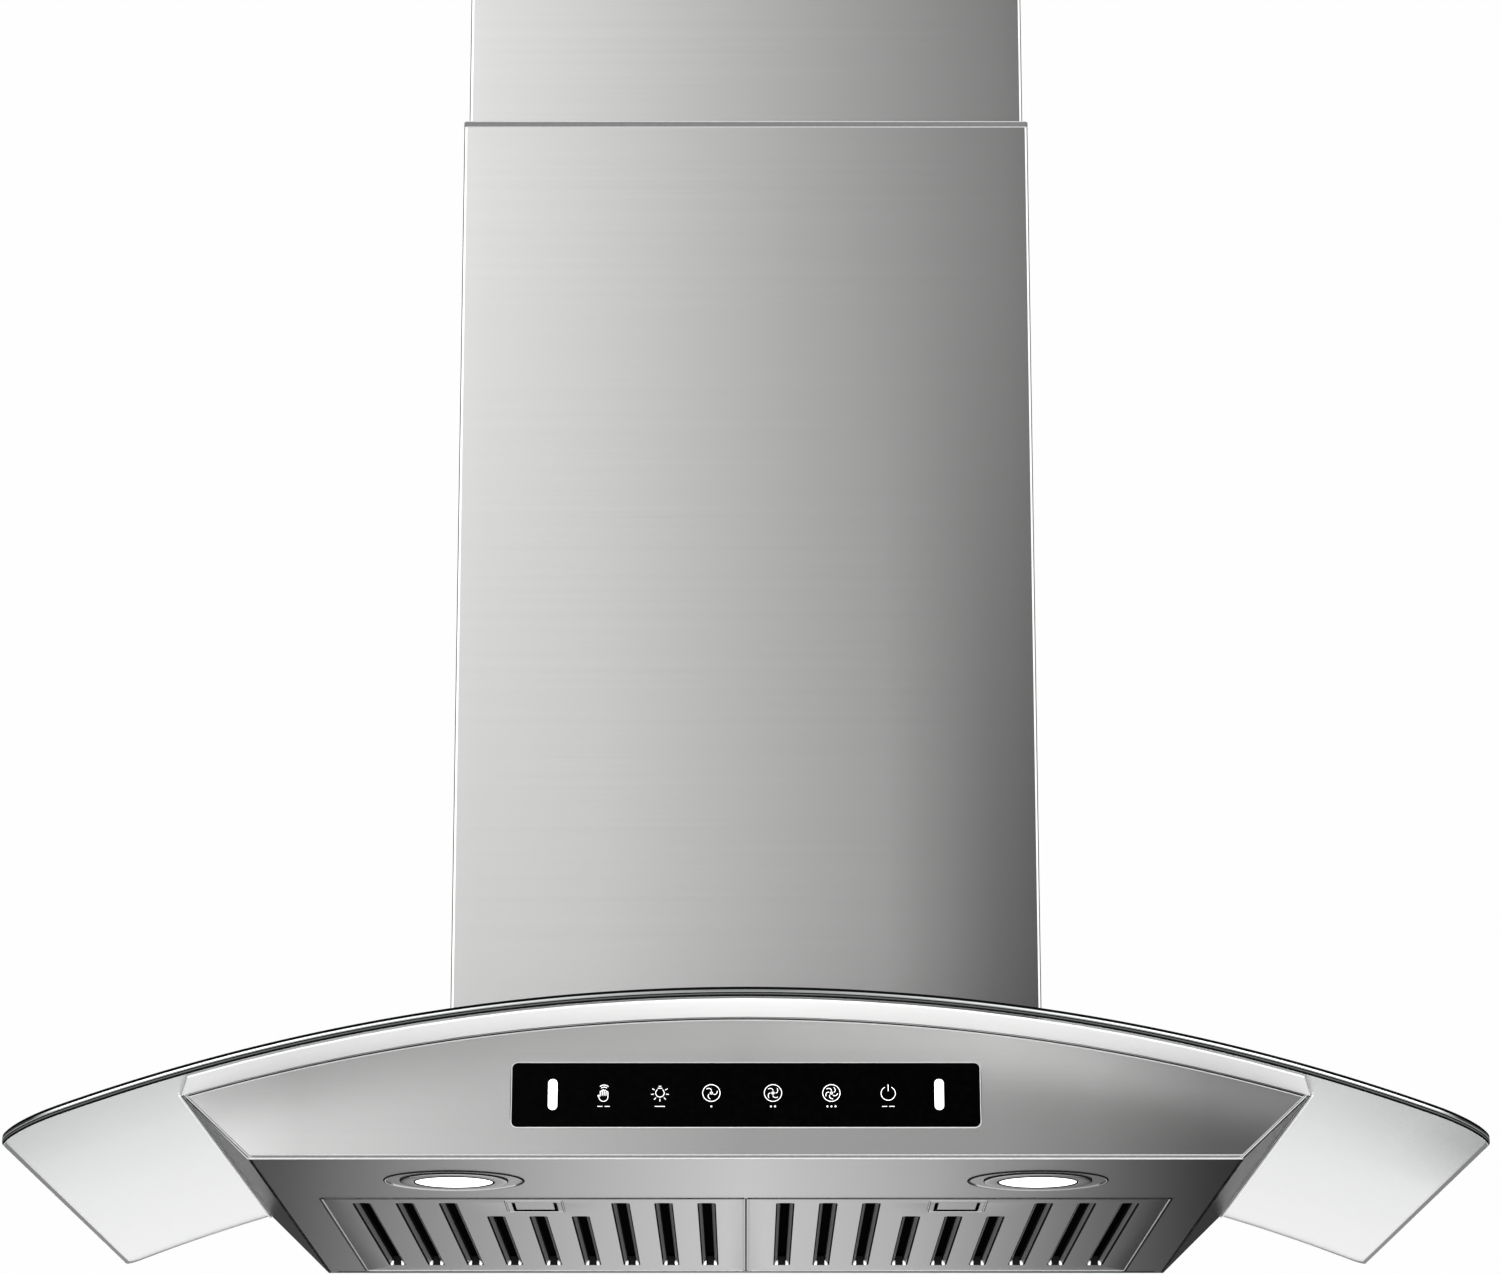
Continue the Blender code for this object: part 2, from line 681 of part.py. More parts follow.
def latch_handle(side, word):
    """Finger plate in the recess, with the bolt that runs forward above the filter's face."""
    low, high = filter_x(side)
    centre = (low + high) / 2
    half, front, rear = HANDLE
    bolt_low, bolt_high = FILTER_SHEET + GAP, 0.0021
    plate_top = 0.0046
    section = [
        (front, 0.0),
        (rear, 0.0),
        (rear, plate_top),
        (rear - 0.001, plate_top),
        (rear - 0.001, bolt_high),
        (FILTER_FRONT + 0.0007, bolt_high),
        (FILTER_FRONT + 0.0007, bolt_low),
        (front, bolt_low),
    ]
    pivot = (centre, front, 0.0)
    bm = bmesh.new()
    add_prism(bm, section, lambda y, z, x: (x, y, z), centre - half, centre + half)
    handle = finish_object(word + "_latch_handle", bm, "brushed_steel", HOOD, pivot)
    for s, label in ((-1, "a"), (1, "b")):
        edge = centre + s * 0.007
        span = sorted((edge, edge + s * 0.01))
        spare = ((span[0], FILTER_FRONT - 0.01, -0.001), (span[1], front - 0.0002, 0.01))
        cut(handle, cutter(word + "_latch_side_" + label, HOOD, lambda bm: add_box(bm, *spare)))


def filters():
    for side, word in ((-1, "left"), (1, "right")):
        pivot = (side * (FILTER_INNER + FILTER_OUTER) / 2, *FILTER_PIVOT)
        filter_face(side, word, pivot)
        filter_back(side, word, pivot)
        latch_handle(side, word)


# ---------------------------------------------------------------- blower
def scroll_radius(angle):
    """Volute radius at an angle counted from the cut-off, growing as the air is gathered."""
    return 0.081 + 0.032 * angle / math.radians(270)


def scroll_outline(offset):
    """Spiral from the cut-off round to the outlet, then straight up, grown outwards by offset."""
    y0, z0 = SCROLL_AXIS
    steps = 18
    points = []
    for k in range(steps + 1):
        turned = math.radians(270) * k / steps
        angle = math.radians(90) + turned  # counted from +y, going front, down and then to the rear
        r = scroll_radius(turned) + offset
        points.append((y0 + r * math.cos(angle), z0 + r * math.sin(angle)))
    points.append((points[-1][0], SCROLL_TOP))
    points.append((y0 + 0.006 - offset, SCROLL_TOP))
    points.append((y0 + 0.006 - offset, z0 + scroll_radius(0.0) + offset + 0.001))
    return points


def scroll_halves():
    y0, z0 = SCROLL_AXIS
    for side, name in ((-1, "left_scroll_half"), (1, "right_scroll_half")):
        inner_x = side * GAP
        outer_x = side * SCROLL_HALF_WIDTH
        bm = bmesh.new()
        add_prism(bm, scroll_outline(SCROLL_WALL), lambda y, z, x: (x, y, z), inner_x, outer_x)
        half = finish_object(name, bm, "galvanised_steel", HOOD, smooth_deg=30)

        def hollow(bm):
            span = sorted((-side * 0.01, outer_x - side * SCROLL_WALL))
            outline = scroll_outline(0.0)
            raised = [(y, z + (0.01 if z == SCROLL_TOP else 0.0)) for y, z in outline]
            add_prism(bm, raised, lambda y, z, x: (x, y, z), span[0], span[1])

        cut(half, cutter(name + "_inside", HOOD, hollow))
        eye = (outer_x, y0, z0)
        cut(half, cutter(name + "_eye", HOOD, lambda bm: add_cylinder(bm, "X", eye, SCROLL_EYE, 0.02, 36)))


def blower_box():
    """Galvanised box round the blower, open below, with the round outlet in its roof."""
    wx, wy = BLOWER_HALF
    bm = bmesh.new()
    add_box(bm, (-wx, MIDDLE_Y - wy, BLOWER_LOW), (wx, MIDDLE_Y + wy, BLOWER_TOP))
    box = finish_object("blower_box", bm, "galvanised_steel", HOOD)
    inside = (
        (-wx + SHEET, MIDDLE_Y - wy + SHEET, BLOWER_LOW - 0.01),
        (wx - SHEET, MIDDLE_Y + wy - SHEET, BLOWER_TOP - SHEET),
    )
    cut(box, cutter("blower_box_inside", HOOD, lambda bm: add_box(bm, *inside)))

    def outlet(bm):
        add_cylinder(bm, "Z", (0.0, MIDDLE_Y, BLOWER_TOP), OUTLET_RADIUS, 0.02, 40)

    cut(box, cutter("blower_box_outlet", HOOD, outlet))


def motor_parts():
    y0, z0 = SCROLL_AXIS
    bm = bmesh.new()
    add_cylinder(bm, "X", (0.037, y0, z0), 0.040, 0.050, 32)
    motor = finish_object("motor", bm, "motor_steel", HOOD, smooth_deg=30)

    def bore(bm):
        add_cylinder(bm, "X", (0.016, y0, z0), SHAFT_RADIUS + 2 * GAP, 0.03, 20)

    cut(motor, cutter("motor_bore", HOOD, bore))

    bm = bmesh.new()
    add_cylinder(bm, "X", (BRACKET_X, y0, z0), 0.030, 0.003, 28)
    bracket = finish_object("motor_bracket", bm, "galvanised_steel", HOOD)

    def arms(bm):
        for k in range(3):
            turn = Matrix.Rotation(math.radians(90 + 120 * k), 4, "X")
            centre = Vector((BRACKET_X, y0, z0))
            matrix = Matrix.Translation(centre) @ turn @ Matrix.Translation((0.0, 0.039, 0.0))
            matrix = matrix @ Matrix.Diagonal((0.0028, 0.058, 0.016, 1.0))
            bmesh.ops.create_cube(bm, size=1.0, matrix=matrix)

    join(bracket, cutter("motor_bracket_arms", HOOD, arms))

    def stem(bm):
        add_cylinder(bm, "X", (BRACKET_X - 0.0065, y0, z0), 0.012, 0.0114, 20)

    join(bracket, cutter("motor_bracket_stem", HOOD, stem))

    bm = bmesh.new()
    add_cylinder(bm, "X", (0.0005, y0, z0), SHAFT_RADIUS, 0.043, 16)
    finish_object("motor_shaft", bm, "polished_steel", HOOD, (0.0, y0, z0), smooth_deg=30)


def impeller():
    """Double-inlet wheel: a middle disc with a hub, forward-curved blades and two end rings."""
    y0, z0 = SCROLL_AXIS
    pivot = (0.0, y0, z0)
    bm = bmesh.new()
    add_cylinder(bm, "X", (-0.006, y0, z0), 0.0735, 0.0016, 48)
    wheel = finish_object("impeller", bm, "aluminium", HOOD, pivot, smooth_deg=30)

    def blades(bm):
        for k in range(BLADES):
            turn = Matrix.Rotation(2 * math.pi * k / BLADES, 4, "X")
            tilt = Matrix.Rotation(math.radians(35), 4, "X")
            matrix = Matrix.Translation(pivot) @ turn @ Matrix.Translation((0.0, 0.0675, 0.0)) @ tilt
            matrix = matrix @ Matrix.Diagonal((2 * WHEEL_HALF_WIDTH - 0.001, 0.0145, 0.0008, 1.0))
            bmesh.ops.create_cube(bm, size=1.0, matrix=matrix)

    join(wheel, cutter("impeller_blades", HOOD, blades))

    section = [(0, RING_INNER_RADIUS), (0, WHEEL_RADIUS), (1, WHEEL_RADIUS), (1, RING_INNER_RADIUS)]

    def end_rings(bm):
        for side in (-1, 1):
            rings = []
            for x, r in section:
                middle = side * (WHEEL_HALF_WIDTH - 0.003 * x)
                points = []
                for k in range(48):
                    angle = 2 * math.pi * k / 48
                    points.append(
                        bm.verts.new((middle, y0 + r * math.cos(angle), z0 + r * math.sin(angle)))
                    )
                rings.append(points)
            for i in range(4):
                one, two = rings[i], rings[(i + 1) % 4]
                for k in range(48):
                    n = (k + 1) % 48
                    bm.faces.new((one[k], one[n], two[n], two[k]))

    join(wheel, cutter("impeller_rings", HOOD, end_rings))
    hub = (-0.0085, y0, z0)
    join(wheel, cutter("impeller_hub", HOOD, lambda bm: add_cylinder(bm, "X", hub, 0.012, 0.018, 24)))
    bore = SHAFT_RADIUS + GAP
    cut(wheel, cutter("impeller_bore", HOOD, lambda bm: add_cylinder(bm, "X", hub, bore, 0.03, 16)))


def capacitor():
    bm = bmesh.new()
    radius = 0.019
    add_cylinder(bm, "Y", (-0.118, MIDDLE_Y, BLOWER_TOP + GAP + radius), radius, 0.070, 28)
    finish_object("capacitor", bm, "white_plastic", HOOD, smooth_deg=30)


def junction_box():
    """Steel terminal box on the blower box's roof, with a lid and a cable knock-out in its top end."""
    low = (BOX_X[0], MIDDLE_Y - BOX_HALF_DEPTH, BLOWER_TOP + GAP)
    high = (BOX_X[1], MIDDLE_Y + BOX_HALF_DEPTH, BLOWER_TOP + BOX_HEIGHT)
    wall = 0.0012
    bm = bmesh.new()
    add_box(bm, low, high)
    box = finish_object("junction_box", bm, "galvanised_steel", HOOD)
    inside = (
        (low[0] + wall, low[1] + wall, low[2] + wall),
        (high[0] - wall, high[1] - wall, high[2] + 0.01),
    )
    cut(box, cutter("junction_box_inside", HOOD, lambda bm: add_box(bm, *inside)))
    knock_out = ((low[0] + high[0]) / 2, high[1], (low[2] + high[2]) / 2)
    cut(box, cutter("cable_knock_out", HOOD, lambda bm: add_cylinder(bm, "Y", knock_out, 0.011, 0.01, 28)))
    bm = bmesh.new()
    lid_z = high[2] + GAP
    add_box(bm, (low[0] - 0.001, low[1] - 0.001, lid_z), (high[0] + 0.001, high[1] + 0.001, lid_z + 0.0012))
    finish_object("junction_box_cover", bm, "galvanised_steel", HOOD)


# ---------------------------------------------------------------- outlet collar and back-draught flaps
def outlet_collar():
    inner = COLLAR_RADIUS - COLLAR_WALL
    rim = COLLAR_RADIUS + COLLAR_FLANGE
    foot = BLOWER_TOP + GAP
    flange_top = foot + COLLAR_WALL
    profile = [
        (inner, foot),
        (rim, foot),
        (rim, flange_top),
        (COLLAR_RADIUS, flange_top),
        (COLLAR_RADIUS, COLLAR_TOP),
        (inner, COLLAR_TOP),
    ]
    bm = bmesh.new()
    add_turned(bm, profile, (0.0, MIDDLE_Y, 0.0), 48)
    finish_object("outlet_collar", bm, "black_plastic", HOOD, smooth_deg=30)

    bm = bmesh.new()
    add_cylinder(bm, "Y", (0.0, MIDDLE_Y, FLAP_Z), ROD_RADIUS, 2 * (inner - GAP), 16)
    finish_object("damper_rod", bm, "polished_steel", HOOD, smooth_deg=30)


def damper_flaps():
    """Half-round flaps that share the rod: each has two knuckles, staggered along it."""
    for side, word in ((-1, "left"), (1, "right")):
        pivot = (0.0, MIDDLE_Y, FLAP_Z)
        outline = []
        for k in range(21):
            angle = math.radians(-88 + 176 * k / 20)
            outline.append((side * FLAP_RADIUS * math.cos(angle), MIDDLE_Y + FLAP_RADIUS * math.sin(angle)))
        outline = [(x if abs(x) > FLAP_INNER else side * FLAP_INNER, y) for x, y in outline]
        bm = bmesh.new()
        add_prism(bm, outline, ground, FLAP_Z - 0.0005, FLAP_Z + 0.0005)
        flap = finish_object(word + "_damper_flap", bm, "aluminium", HOOD, pivot)
        places = (-0.050, 0.020) if side < 0 else (-0.020, 0.050)

        def knuckles(bm):
            for y in places:
                middle = (0.0, MIDDLE_Y + y, FLAP_Z)
                add_cylinder(bm, "Y", middle, KNUCKLE_RADIUS, 0.014, 16)
                low = (min(0.0, side * 0.006), MIDDLE_Y + y - 0.0065, FLAP_Z - 0.00045)
                high = (max(0.0, side * 0.006), MIDDLE_Y + y + 0.0065, FLAP_Z + 0.00045)
                add_box(bm, low, high)

        join(flap, cutter(word + "_flap_knuckles", HOOD, knuckles))
        bore = ROD_RADIUS + 0.0004
        cut(flap, cutter(word + "_flap_bore", HOOD, lambda bm: add_cylinder(bm, "Y", pivot, bore, 0.2, 16)))


# ---------------------------------------------------------------- chimneys and hanging frame
def add_channel(bm, half, wall, y_sign, low_at, high, seam, columns):
    """A U-shaped cover: one wide wall with two side walls that end at the seam. low_at(x) is its foot."""
    wx, wy = half
    outer = [(-wx, seam), (-wx, wy)] + [(wx * s, wy) for s in columns] + [(wx, wy), (wx, seam)]
    inner_x, inner_y = wx - wall, wy - wall
    inner = [(-inner_x, seam), (-inner_x, inner_y)]
    inner += [(inner_x * s, inner_y) for s in columns] + [(inner_x, inner_y), (inner_x, seam)]

    def column(points, z_of):
        return [bm.verts.new((x, MIDDLE_Y + y_sign * y, z_of(x))) for x, y in points]

    out_low, out_high = column(outer, low_at), column(outer, lambda x: high)
    in_low, in_high = column(inner, low_at), column(inner, lambda x: high)
    for k in range(len(outer) - 1):
        n = k + 1
        bm.faces.new((out_low[k], out_low[n], out_high[n], out_high[k]))
        bm.faces.new((in_low[n], in_low[k], in_high[k], in_high[n]))
        bm.faces.new((out_high[k], out_high[n], in_high[n], in_high[k]))
        bm.faces.new((out_low[n], out_low[k], in_low[k], in_low[n]))
    for k in (0, len(outer) - 1):
        bm.faces.new((out_low[k], in_low[k], in_high[k], out_high[k]))


def chimney_covers():
    columns = [k / 6 - 1 for k in range(1, 12)]
    for y_sign, word in ((-1, "front"), (1, "rear")):
        bm = bmesh.new()
        add_channel(
            bm,
            CHIMNEY_HALF,
            SHEET,
            y_sign,
            lambda x: arch(x, GLASS_THICK) + GAP,
            CHIMNEY_TOP,
            SEAM,
            columns,
        )
        finish_object("lower_chimney_" + word, bm, "brushed_steel", HOOD)
        bm = bmesh.new()
        add_channel(bm, UPPER_HALF, SHEET, y_sign, lambda x: UPPER_LOW, UPPER_TOP, SEAM, [])
        finish_object("upper_chimney_" + word, bm, "brushed_steel", HOOD, (0.0, MIDDLE_Y, UPPER_LOW))


def angle_section(sx, sy, half, leg, thick):
    """Outline of an L whose outer corner points away from the chimney's middle line."""
    x, y = half
    points = [
        (x, y),
        (x - leg, y),
        (x - leg, y - thick),
        (x - thick, y - thick),
        (x - thick, y - leg),
        (x, y - leg),
    ]
    return [(sx * a, MIDDLE_Y + sy * b) for a, b in points]


def frame_posts():
    inset = POST_THICK + GAP
    inner_half = (POST_HALF[0] - inset, POST_HALF[1] - inset)
    for sy, depth_word in ((-1, "front"), (1, "rear")):
        for sx, side_word in ((-1, "left"), (1, "right")):
            place = depth_word + "_" + side_word
            bm = bmesh.new()
            outline = angle_section(sx, sy, POST_HALF, POST_LEG, POST_THICK)
            add_prism(bm, outline, ground, RING_TOP + GAP, POST_TOP)
            finish_object("frame_post_" + place, bm, "galvanised_steel", HOOD)
            bm = bmesh.new()
            outline = angle_section(sx, sy, inner_half, POST_LEG - 0.003, POST_THICK)
            add_prism(bm, outline, ground, EXTENSION_LOW, HANG - CEILING_THICK - GAP)
            finish_object("frame_extension_" + place, bm, "galvanised_steel", HOOD)


def frame_braces():
    """Flat bars between the two front and the two rear extensions."""
    reach_x = POST_HALF[0] - 2 * (POST_THICK + GAP)
    reach_y = POST_HALF[1] - 2 * (POST_THICK + GAP)
    for sy, word in ((-1, "front"), (1, "rear")):
        span = sorted((sy * reach_y, sy * (reach_y - BRACE_THICK)))
        bm = bmesh.new()
        add_box(
            bm,
            (-reach_x, MIDDLE_Y + span[0], BRACE_Z),
            (reach_x, MIDDLE_Y + span[1], BRACE_Z + BRACE_HEIGHT),
        )
        finish_object("frame_brace_" + word, bm, "galvanised_steel", HOOD)


def ceiling_plate():
    """Plate that is screwed to the ceiling: a duct opening, four screw holes and a cable hole."""
    half = (0.1525, 0.1325)
    opening = (0.100, 0.090)
    xs = [-half[0], -opening[0], opening[0], half[0]]
    ys = [MIDDLE_Y + v for v in (-half[1], -opening[1], opening[1], half[1])]
    bm = bmesh.new()
    add_slab(
        bm,
        xs,
        ys,
        lambda i, j: (i, j) != (1, 1),
        lambda x, y, side: (x, y, HANG - (1 - side) * CEILING_THICK),
    )
    plate = finish_object("ceiling_plate", bm, "galvanised_steel", HOOD)

    def holes(bm):
        for sx in (-1, 1):
            for sy in (-1, 1):
                centre = (sx * 0.125, MIDDLE_Y + sy * 0.110, HANG)
                add_cylinder(bm, "Z", centre, 0.0035, 0.02, 16)
        add_cylinder(bm, "Z", (0.125, MIDDLE_Y, HANG), 0.011, 0.02, 24)

    cut(plate, cutter("ceiling_plate_holes", HOOD, holes))


# ---------------------------------------------------------------- assembly
clear_scene()
MATERIALS = {name: make_material(name) for name in COLOURS}
HOOD = empty("hood", (0.0, -MIDDLE_Y, -HANG))
FACE = empty("front_face", (0.0, 0.0, 0.0), HOOD)
FACE.rotation_euler = (-math.atan(FRONT_LEAN), 0.0, 0.0)

glass_canopy()
glass_gaskets()
front_panel()
end_panel("rear_panel", False)
side_panels()
underside_panel()
top_plate()
front_glass_flange()
mounting_ring()
control_panel()
lamps()
filters()
scroll_halves()
blower_box()
motor_parts()
impeller()
capacitor()
junction_box()
outlet_collar()
damper_flaps()
chimney_covers()
frame_posts()
frame_braces()
ceiling_plate()
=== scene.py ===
"""The looks of a ceiling-hung range hood with a curved glass canopy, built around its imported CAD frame.

Metres throughout, in the CAD frame: x to the right, y to the back, z up to the ceiling. Left and right
are as the cook sees them, facing the control panel.
"""

import math

import bmesh
import bpy
from mathutils import Matrix, Vector


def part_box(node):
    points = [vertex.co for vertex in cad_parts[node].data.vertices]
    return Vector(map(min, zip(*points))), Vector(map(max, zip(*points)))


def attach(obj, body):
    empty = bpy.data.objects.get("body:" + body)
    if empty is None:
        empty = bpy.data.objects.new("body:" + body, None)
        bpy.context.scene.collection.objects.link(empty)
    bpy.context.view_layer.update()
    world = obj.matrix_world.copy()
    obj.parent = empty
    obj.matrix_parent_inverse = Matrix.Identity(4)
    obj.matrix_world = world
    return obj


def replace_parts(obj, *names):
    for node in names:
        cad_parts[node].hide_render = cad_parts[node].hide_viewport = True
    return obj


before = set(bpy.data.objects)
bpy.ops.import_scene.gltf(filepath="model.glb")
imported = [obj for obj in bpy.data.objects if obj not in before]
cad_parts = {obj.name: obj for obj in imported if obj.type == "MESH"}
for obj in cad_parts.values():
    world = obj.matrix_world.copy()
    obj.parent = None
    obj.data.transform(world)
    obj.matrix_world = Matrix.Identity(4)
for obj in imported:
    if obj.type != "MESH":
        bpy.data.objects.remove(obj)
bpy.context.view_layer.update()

# ---------- places read from the frame
GLASS_LOW, GLASS_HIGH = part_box("glass_canopy")
PANEL_LOW, PANEL_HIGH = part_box("front_panel")
REAR_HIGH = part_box("rear_panel")[1]
UNDER_LOW, UNDER_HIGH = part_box("underside_panel")
BEZEL_LOW, BEZEL_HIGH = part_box("control_bezel")
LOWER_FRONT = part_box("lower_chimney_front")
UPPER_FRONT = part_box("upper_chimney_front")
CEILING_LOW, CEILING_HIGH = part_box("ceiling_plate")

SHEET = UNDER_HIGH.z - UNDER_LOW.z
FOLD_Y = PANEL_LOW.y  # the underside's front fold
FLAT_Z = UNDER_LOW.z  # the flat underside
GLASS_THICK = 0.005
GLASS_HALF = GLASS_HIGH.x
BODY_HALF = PANEL_HIGH.x
CROWN_Z = GLASS_HIGH.z - GLASS_THICK
DROP = CROWN_Z - GLASS_LOW.z
BEND_RADIUS = (GLASS_HALF**2 + DROP**2) / (2 * DROP)
LEAN = (PANEL_HIGH.y - PANEL_LOW.y - SHEET) / (PANEL_HIGH.z - PANEL_LOW.z)
CUTOUT_HALF = (0.155, 0.135)
MIDDLE_Y = (CEILING_LOW.y + CEILING_HIGH.y) / 2
FLOOR_DROP = 3.8  # from the underside down to the studio floor
FLOOR_HALF = 7.0

FACE = Matrix.Translation((0.0, FOLD_Y, FLAT_Z)) @ Matrix.Rotation(-math.atan(LEAN), 4, "X")
OUT, UP_FACE = FACE.to_3x3() @ Vector((0, -1, 0)), FACE.to_3x3() @ Vector((0, 0, 1))
SLOPE = math.hypot(1.0, LEAN)  # length up the leaning panel for each metre of height


def arch(x, rise=0.0):
    """Height of the arc that lies rise above the lower face of the glass."""
    radius = BEND_RADIUS + rise
    return CROWN_Z + rise - (radius - math.sqrt(radius * radius - x * x))


# ---------- node helpers
def rgb(value):
    return (value,) * 3 if isinstance(value, float) else value


def feed(tree, node, inputs):
    """Sets sockets of a node: another node's output is linked, and anything else is a constant."""
    for socket, value in inputs.items():
        if isinstance(value, bpy.types.NodeSocket):
            tree.links.new(value, node.inputs[socket])
        else:
            node.inputs[socket].default_value = value


def add_node(tree, kind, inputs, **settings):
    node = tree.nodes.new("ShaderNode" + kind)
    for name, value in settings.items():
        setattr(node, name, value)
    feed(tree, node, inputs)
    return node


def coordinate(tree, axis=None, kind="Object"):
    """Where a point is in the object's own axes, or its kind "Normal" or "Generated" direction."""
    whole = add_node(tree, "TexCoord", {}).outputs[kind]
    return add_node(tree, "SeparateXYZ", {0: whole}).outputs[axis] if axis else whole


def texture_place(tree, scale):
    inputs = {"Vector": coordinate(tree), "Scale": rgb(scale)}
    return add_node(tree, "Mapping", inputs).outputs["Vector"]


def noise(tree, scale, detail=2.0, roughness=0.5):
    inputs = {"Vector": texture_place(tree, scale), "Scale": 1.0, "Detail": detail, "Roughness": roughness}
    return add_node(tree, "TexNoise", inputs).outputs["Fac"]


def ramp(tree, factor, stops):
    """stops: (position, grey or colour)."""
    node = add_node(tree, "ValToRGB", {"Fac": factor})
    elements = node.color_ramp.elements
    while len(elements) < len(stops):
        elements.new(0.5)
    for element, (position, value) in zip(elements, stops):
        element.position = position
        element.color = (*rgb(value), 1.0)
    return node.outputs["Color"]


def remap(tree, value, low, high, start=0.0, end=1.0, kind="LINEAR"):
    """Turns the range from low to high into the range from start to end."""
    inputs = {"Value": value, "From Min": low, "From Max": high, "To Min": start, "To Max": end}
    return add_node(tree, "MapRange", inputs, interpolation_type=kind).outputs["Result"]


def spread(tree, texture, low, high):
    return remap(tree, texture, 0.0, 1.0, low, high)


def calculate(tree, operation, *values):
    return add_node(tree, "Math", dict(enumerate(values)), operation=operation).outputs[0]


def wander(tree, value, texture, reach):
    """A value that a texture moves by up to reach either way."""
    return calculate(tree, "ADD", value, spread(tree, texture, -reach, reach))


def blend(tree, share, one, two, kind="MIX"):
    inputs = {"Factor": share, 6: one, 7: two}
    return add_node(tree, "Mix", inputs, data_type="RGBA", blend_type=kind).outputs[2]


def bump(tree, height, strength, distance):
    inputs = {"Height": height, "Strength": strength, "Distance": distance}
    return add_node(tree, "Bump", inputs).outputs["Normal"]


def new_material(name):
    material = bpy.data.materials.new(name)
    material.use_nodes = True
    return material, material.node_tree


def shade(material, inputs):
    tree = material.node_tree
    feed(tree, tree.nodes["Principled BSDF"], inputs)
    return material


# ---------- materials
def painted_reflection_tone(tree, colour, across, fade):
    """Painted reflection: multiplies a sheet's colour by factors set across its width, as (x, factor). fade
    is a pair
    of heights: the factors grow from nothing at the first to their full strength at the second."""
    stops = tuple((0.5 + x / (2 * BODY_HALF), factor) for x, factor in across)
    factors = ramp(tree, remap(tree, coordinate(tree, "X"), -BODY_HALF, BODY_HALF), stops)
    strength = remap(tree, coordinate(tree, "Z"), *fade, kind="SMOOTHSTEP") if fade else 1.0
    return blend(tree, strength, colour, factors, "MULTIPLY")


def brushed_steel(name, tone, roughness, grain, stretch, anisotropy=1.0, grazing=1.0, across=(), fade=()):
    """Brushed sheet. grain is the texture scale, low along the brushing, and stretch is the direction
    across the grain, in which a reflection is drawn out."""
    material, tree = new_material(name)
    fine = noise(tree, grain, 4.0, 0.6)
    coarse = noise(tree, tuple(scale * 0.12 for scale in grain))
    both = calculate(tree, "MULTIPLY", calculate(tree, "ADD", fine, coarse), 0.5)
    dark = tuple(c * 0.975 for c in tone)
    colour = ramp(tree, both, ((0.3, dark), (0.7, tuple(min(c * 1.02, 1.0) for c in tone))))
    # Painted reflection: across and fade lay lighter and darker factors on the sheet's colour.
    if across:
        colour = painted_reflection_tone(tree, colour, across, fade)
    clouds = noise(tree, (4.0, 4.0, 3.0))
    inputs = {
        "Base Color": colour,
        "Roughness": spread(tree, clouds, roughness - 0.01, roughness + 0.01),
        "Metallic": 1.0,
        "Anisotropic": anisotropy,
        "Specular Tint": (grazing, grazing, grazing, 1.0),
        "Tangent": add_node(tree, "CombineXYZ", dict(enumerate(stretch))).outputs[0],
        "Normal": bump(tree, fine, 0.04, 0.00003),
    }
    return shade(material, inputs)


def polished_steel(name, tone, roughness):
    material, tree = new_material(name)
    spots = noise(tree, 90.0, 3.0, 0.6)
    inputs = {
        "Base Color": ramp(tree, spots, ((0.35, tuple(c * 0.96 for c in tone)), (0.65, tone))),
        "Roughness": spread(tree, spots, roughness * 0.8, roughness * 1.3),
        "Metallic": 1.0,
        "Normal": bump(tree, spots, 0.05, 0.0001),
    }
    return shade(material, inputs)


def galvanised_steel():
    """Zinc coat with its crystal spangle."""
    material, tree = new_material("zinc_coat")
    cells = add_node(tree, "TexVoronoi", {"Vector": texture_place(tree, 1.0), "Scale": 110.0})
    crystal = add_node(tree, "SeparateColor", {"Color": cells.outputs["Color"]}).outputs
    inputs = {
        "Base Color": ramp(tree, crystal[0], ((0.0, (0.44, 0.46, 0.48)), (1.0, (0.62, 0.64, 0.66)))),
        "Roughness": spread(tree, crystal[1], 0.34, 0.5),
        "Metallic": 1.0,
        "Normal": bump(tree, crystal[2], 0.08, 0.0002),
    }
    return shade(material, inputs)


# Painted shade on the glass, darker towards its front edge, from its front edge (0) to the rear (1); and
# painted shade by place across it, from the left tip (0) to the right.
GLASS_PAINTED_SHADE = (
    (0.0, (0.56, 0.575, 0.57)),
    (0.10, (0.63, 0.65, 0.645)),
    (0.25, (0.76, 0.775, 0.77)),
    (0.5, (0.88, 0.89, 0.887)),
    (0.8, (0.96, 0.967, 0.965)),
    (1.0, (0.985, 0.99, 0.988)),
)
TIP_PAINTED_SHADE = ((0.0, 0.90), (0.06, 1.0), (0.90, 1.0), (0.955, 0.80), (1.0, 0.40))
TIP_SHADE_REACH = ((0.0, 1.0), (0.10, 0.9), (0.4, 0.0))


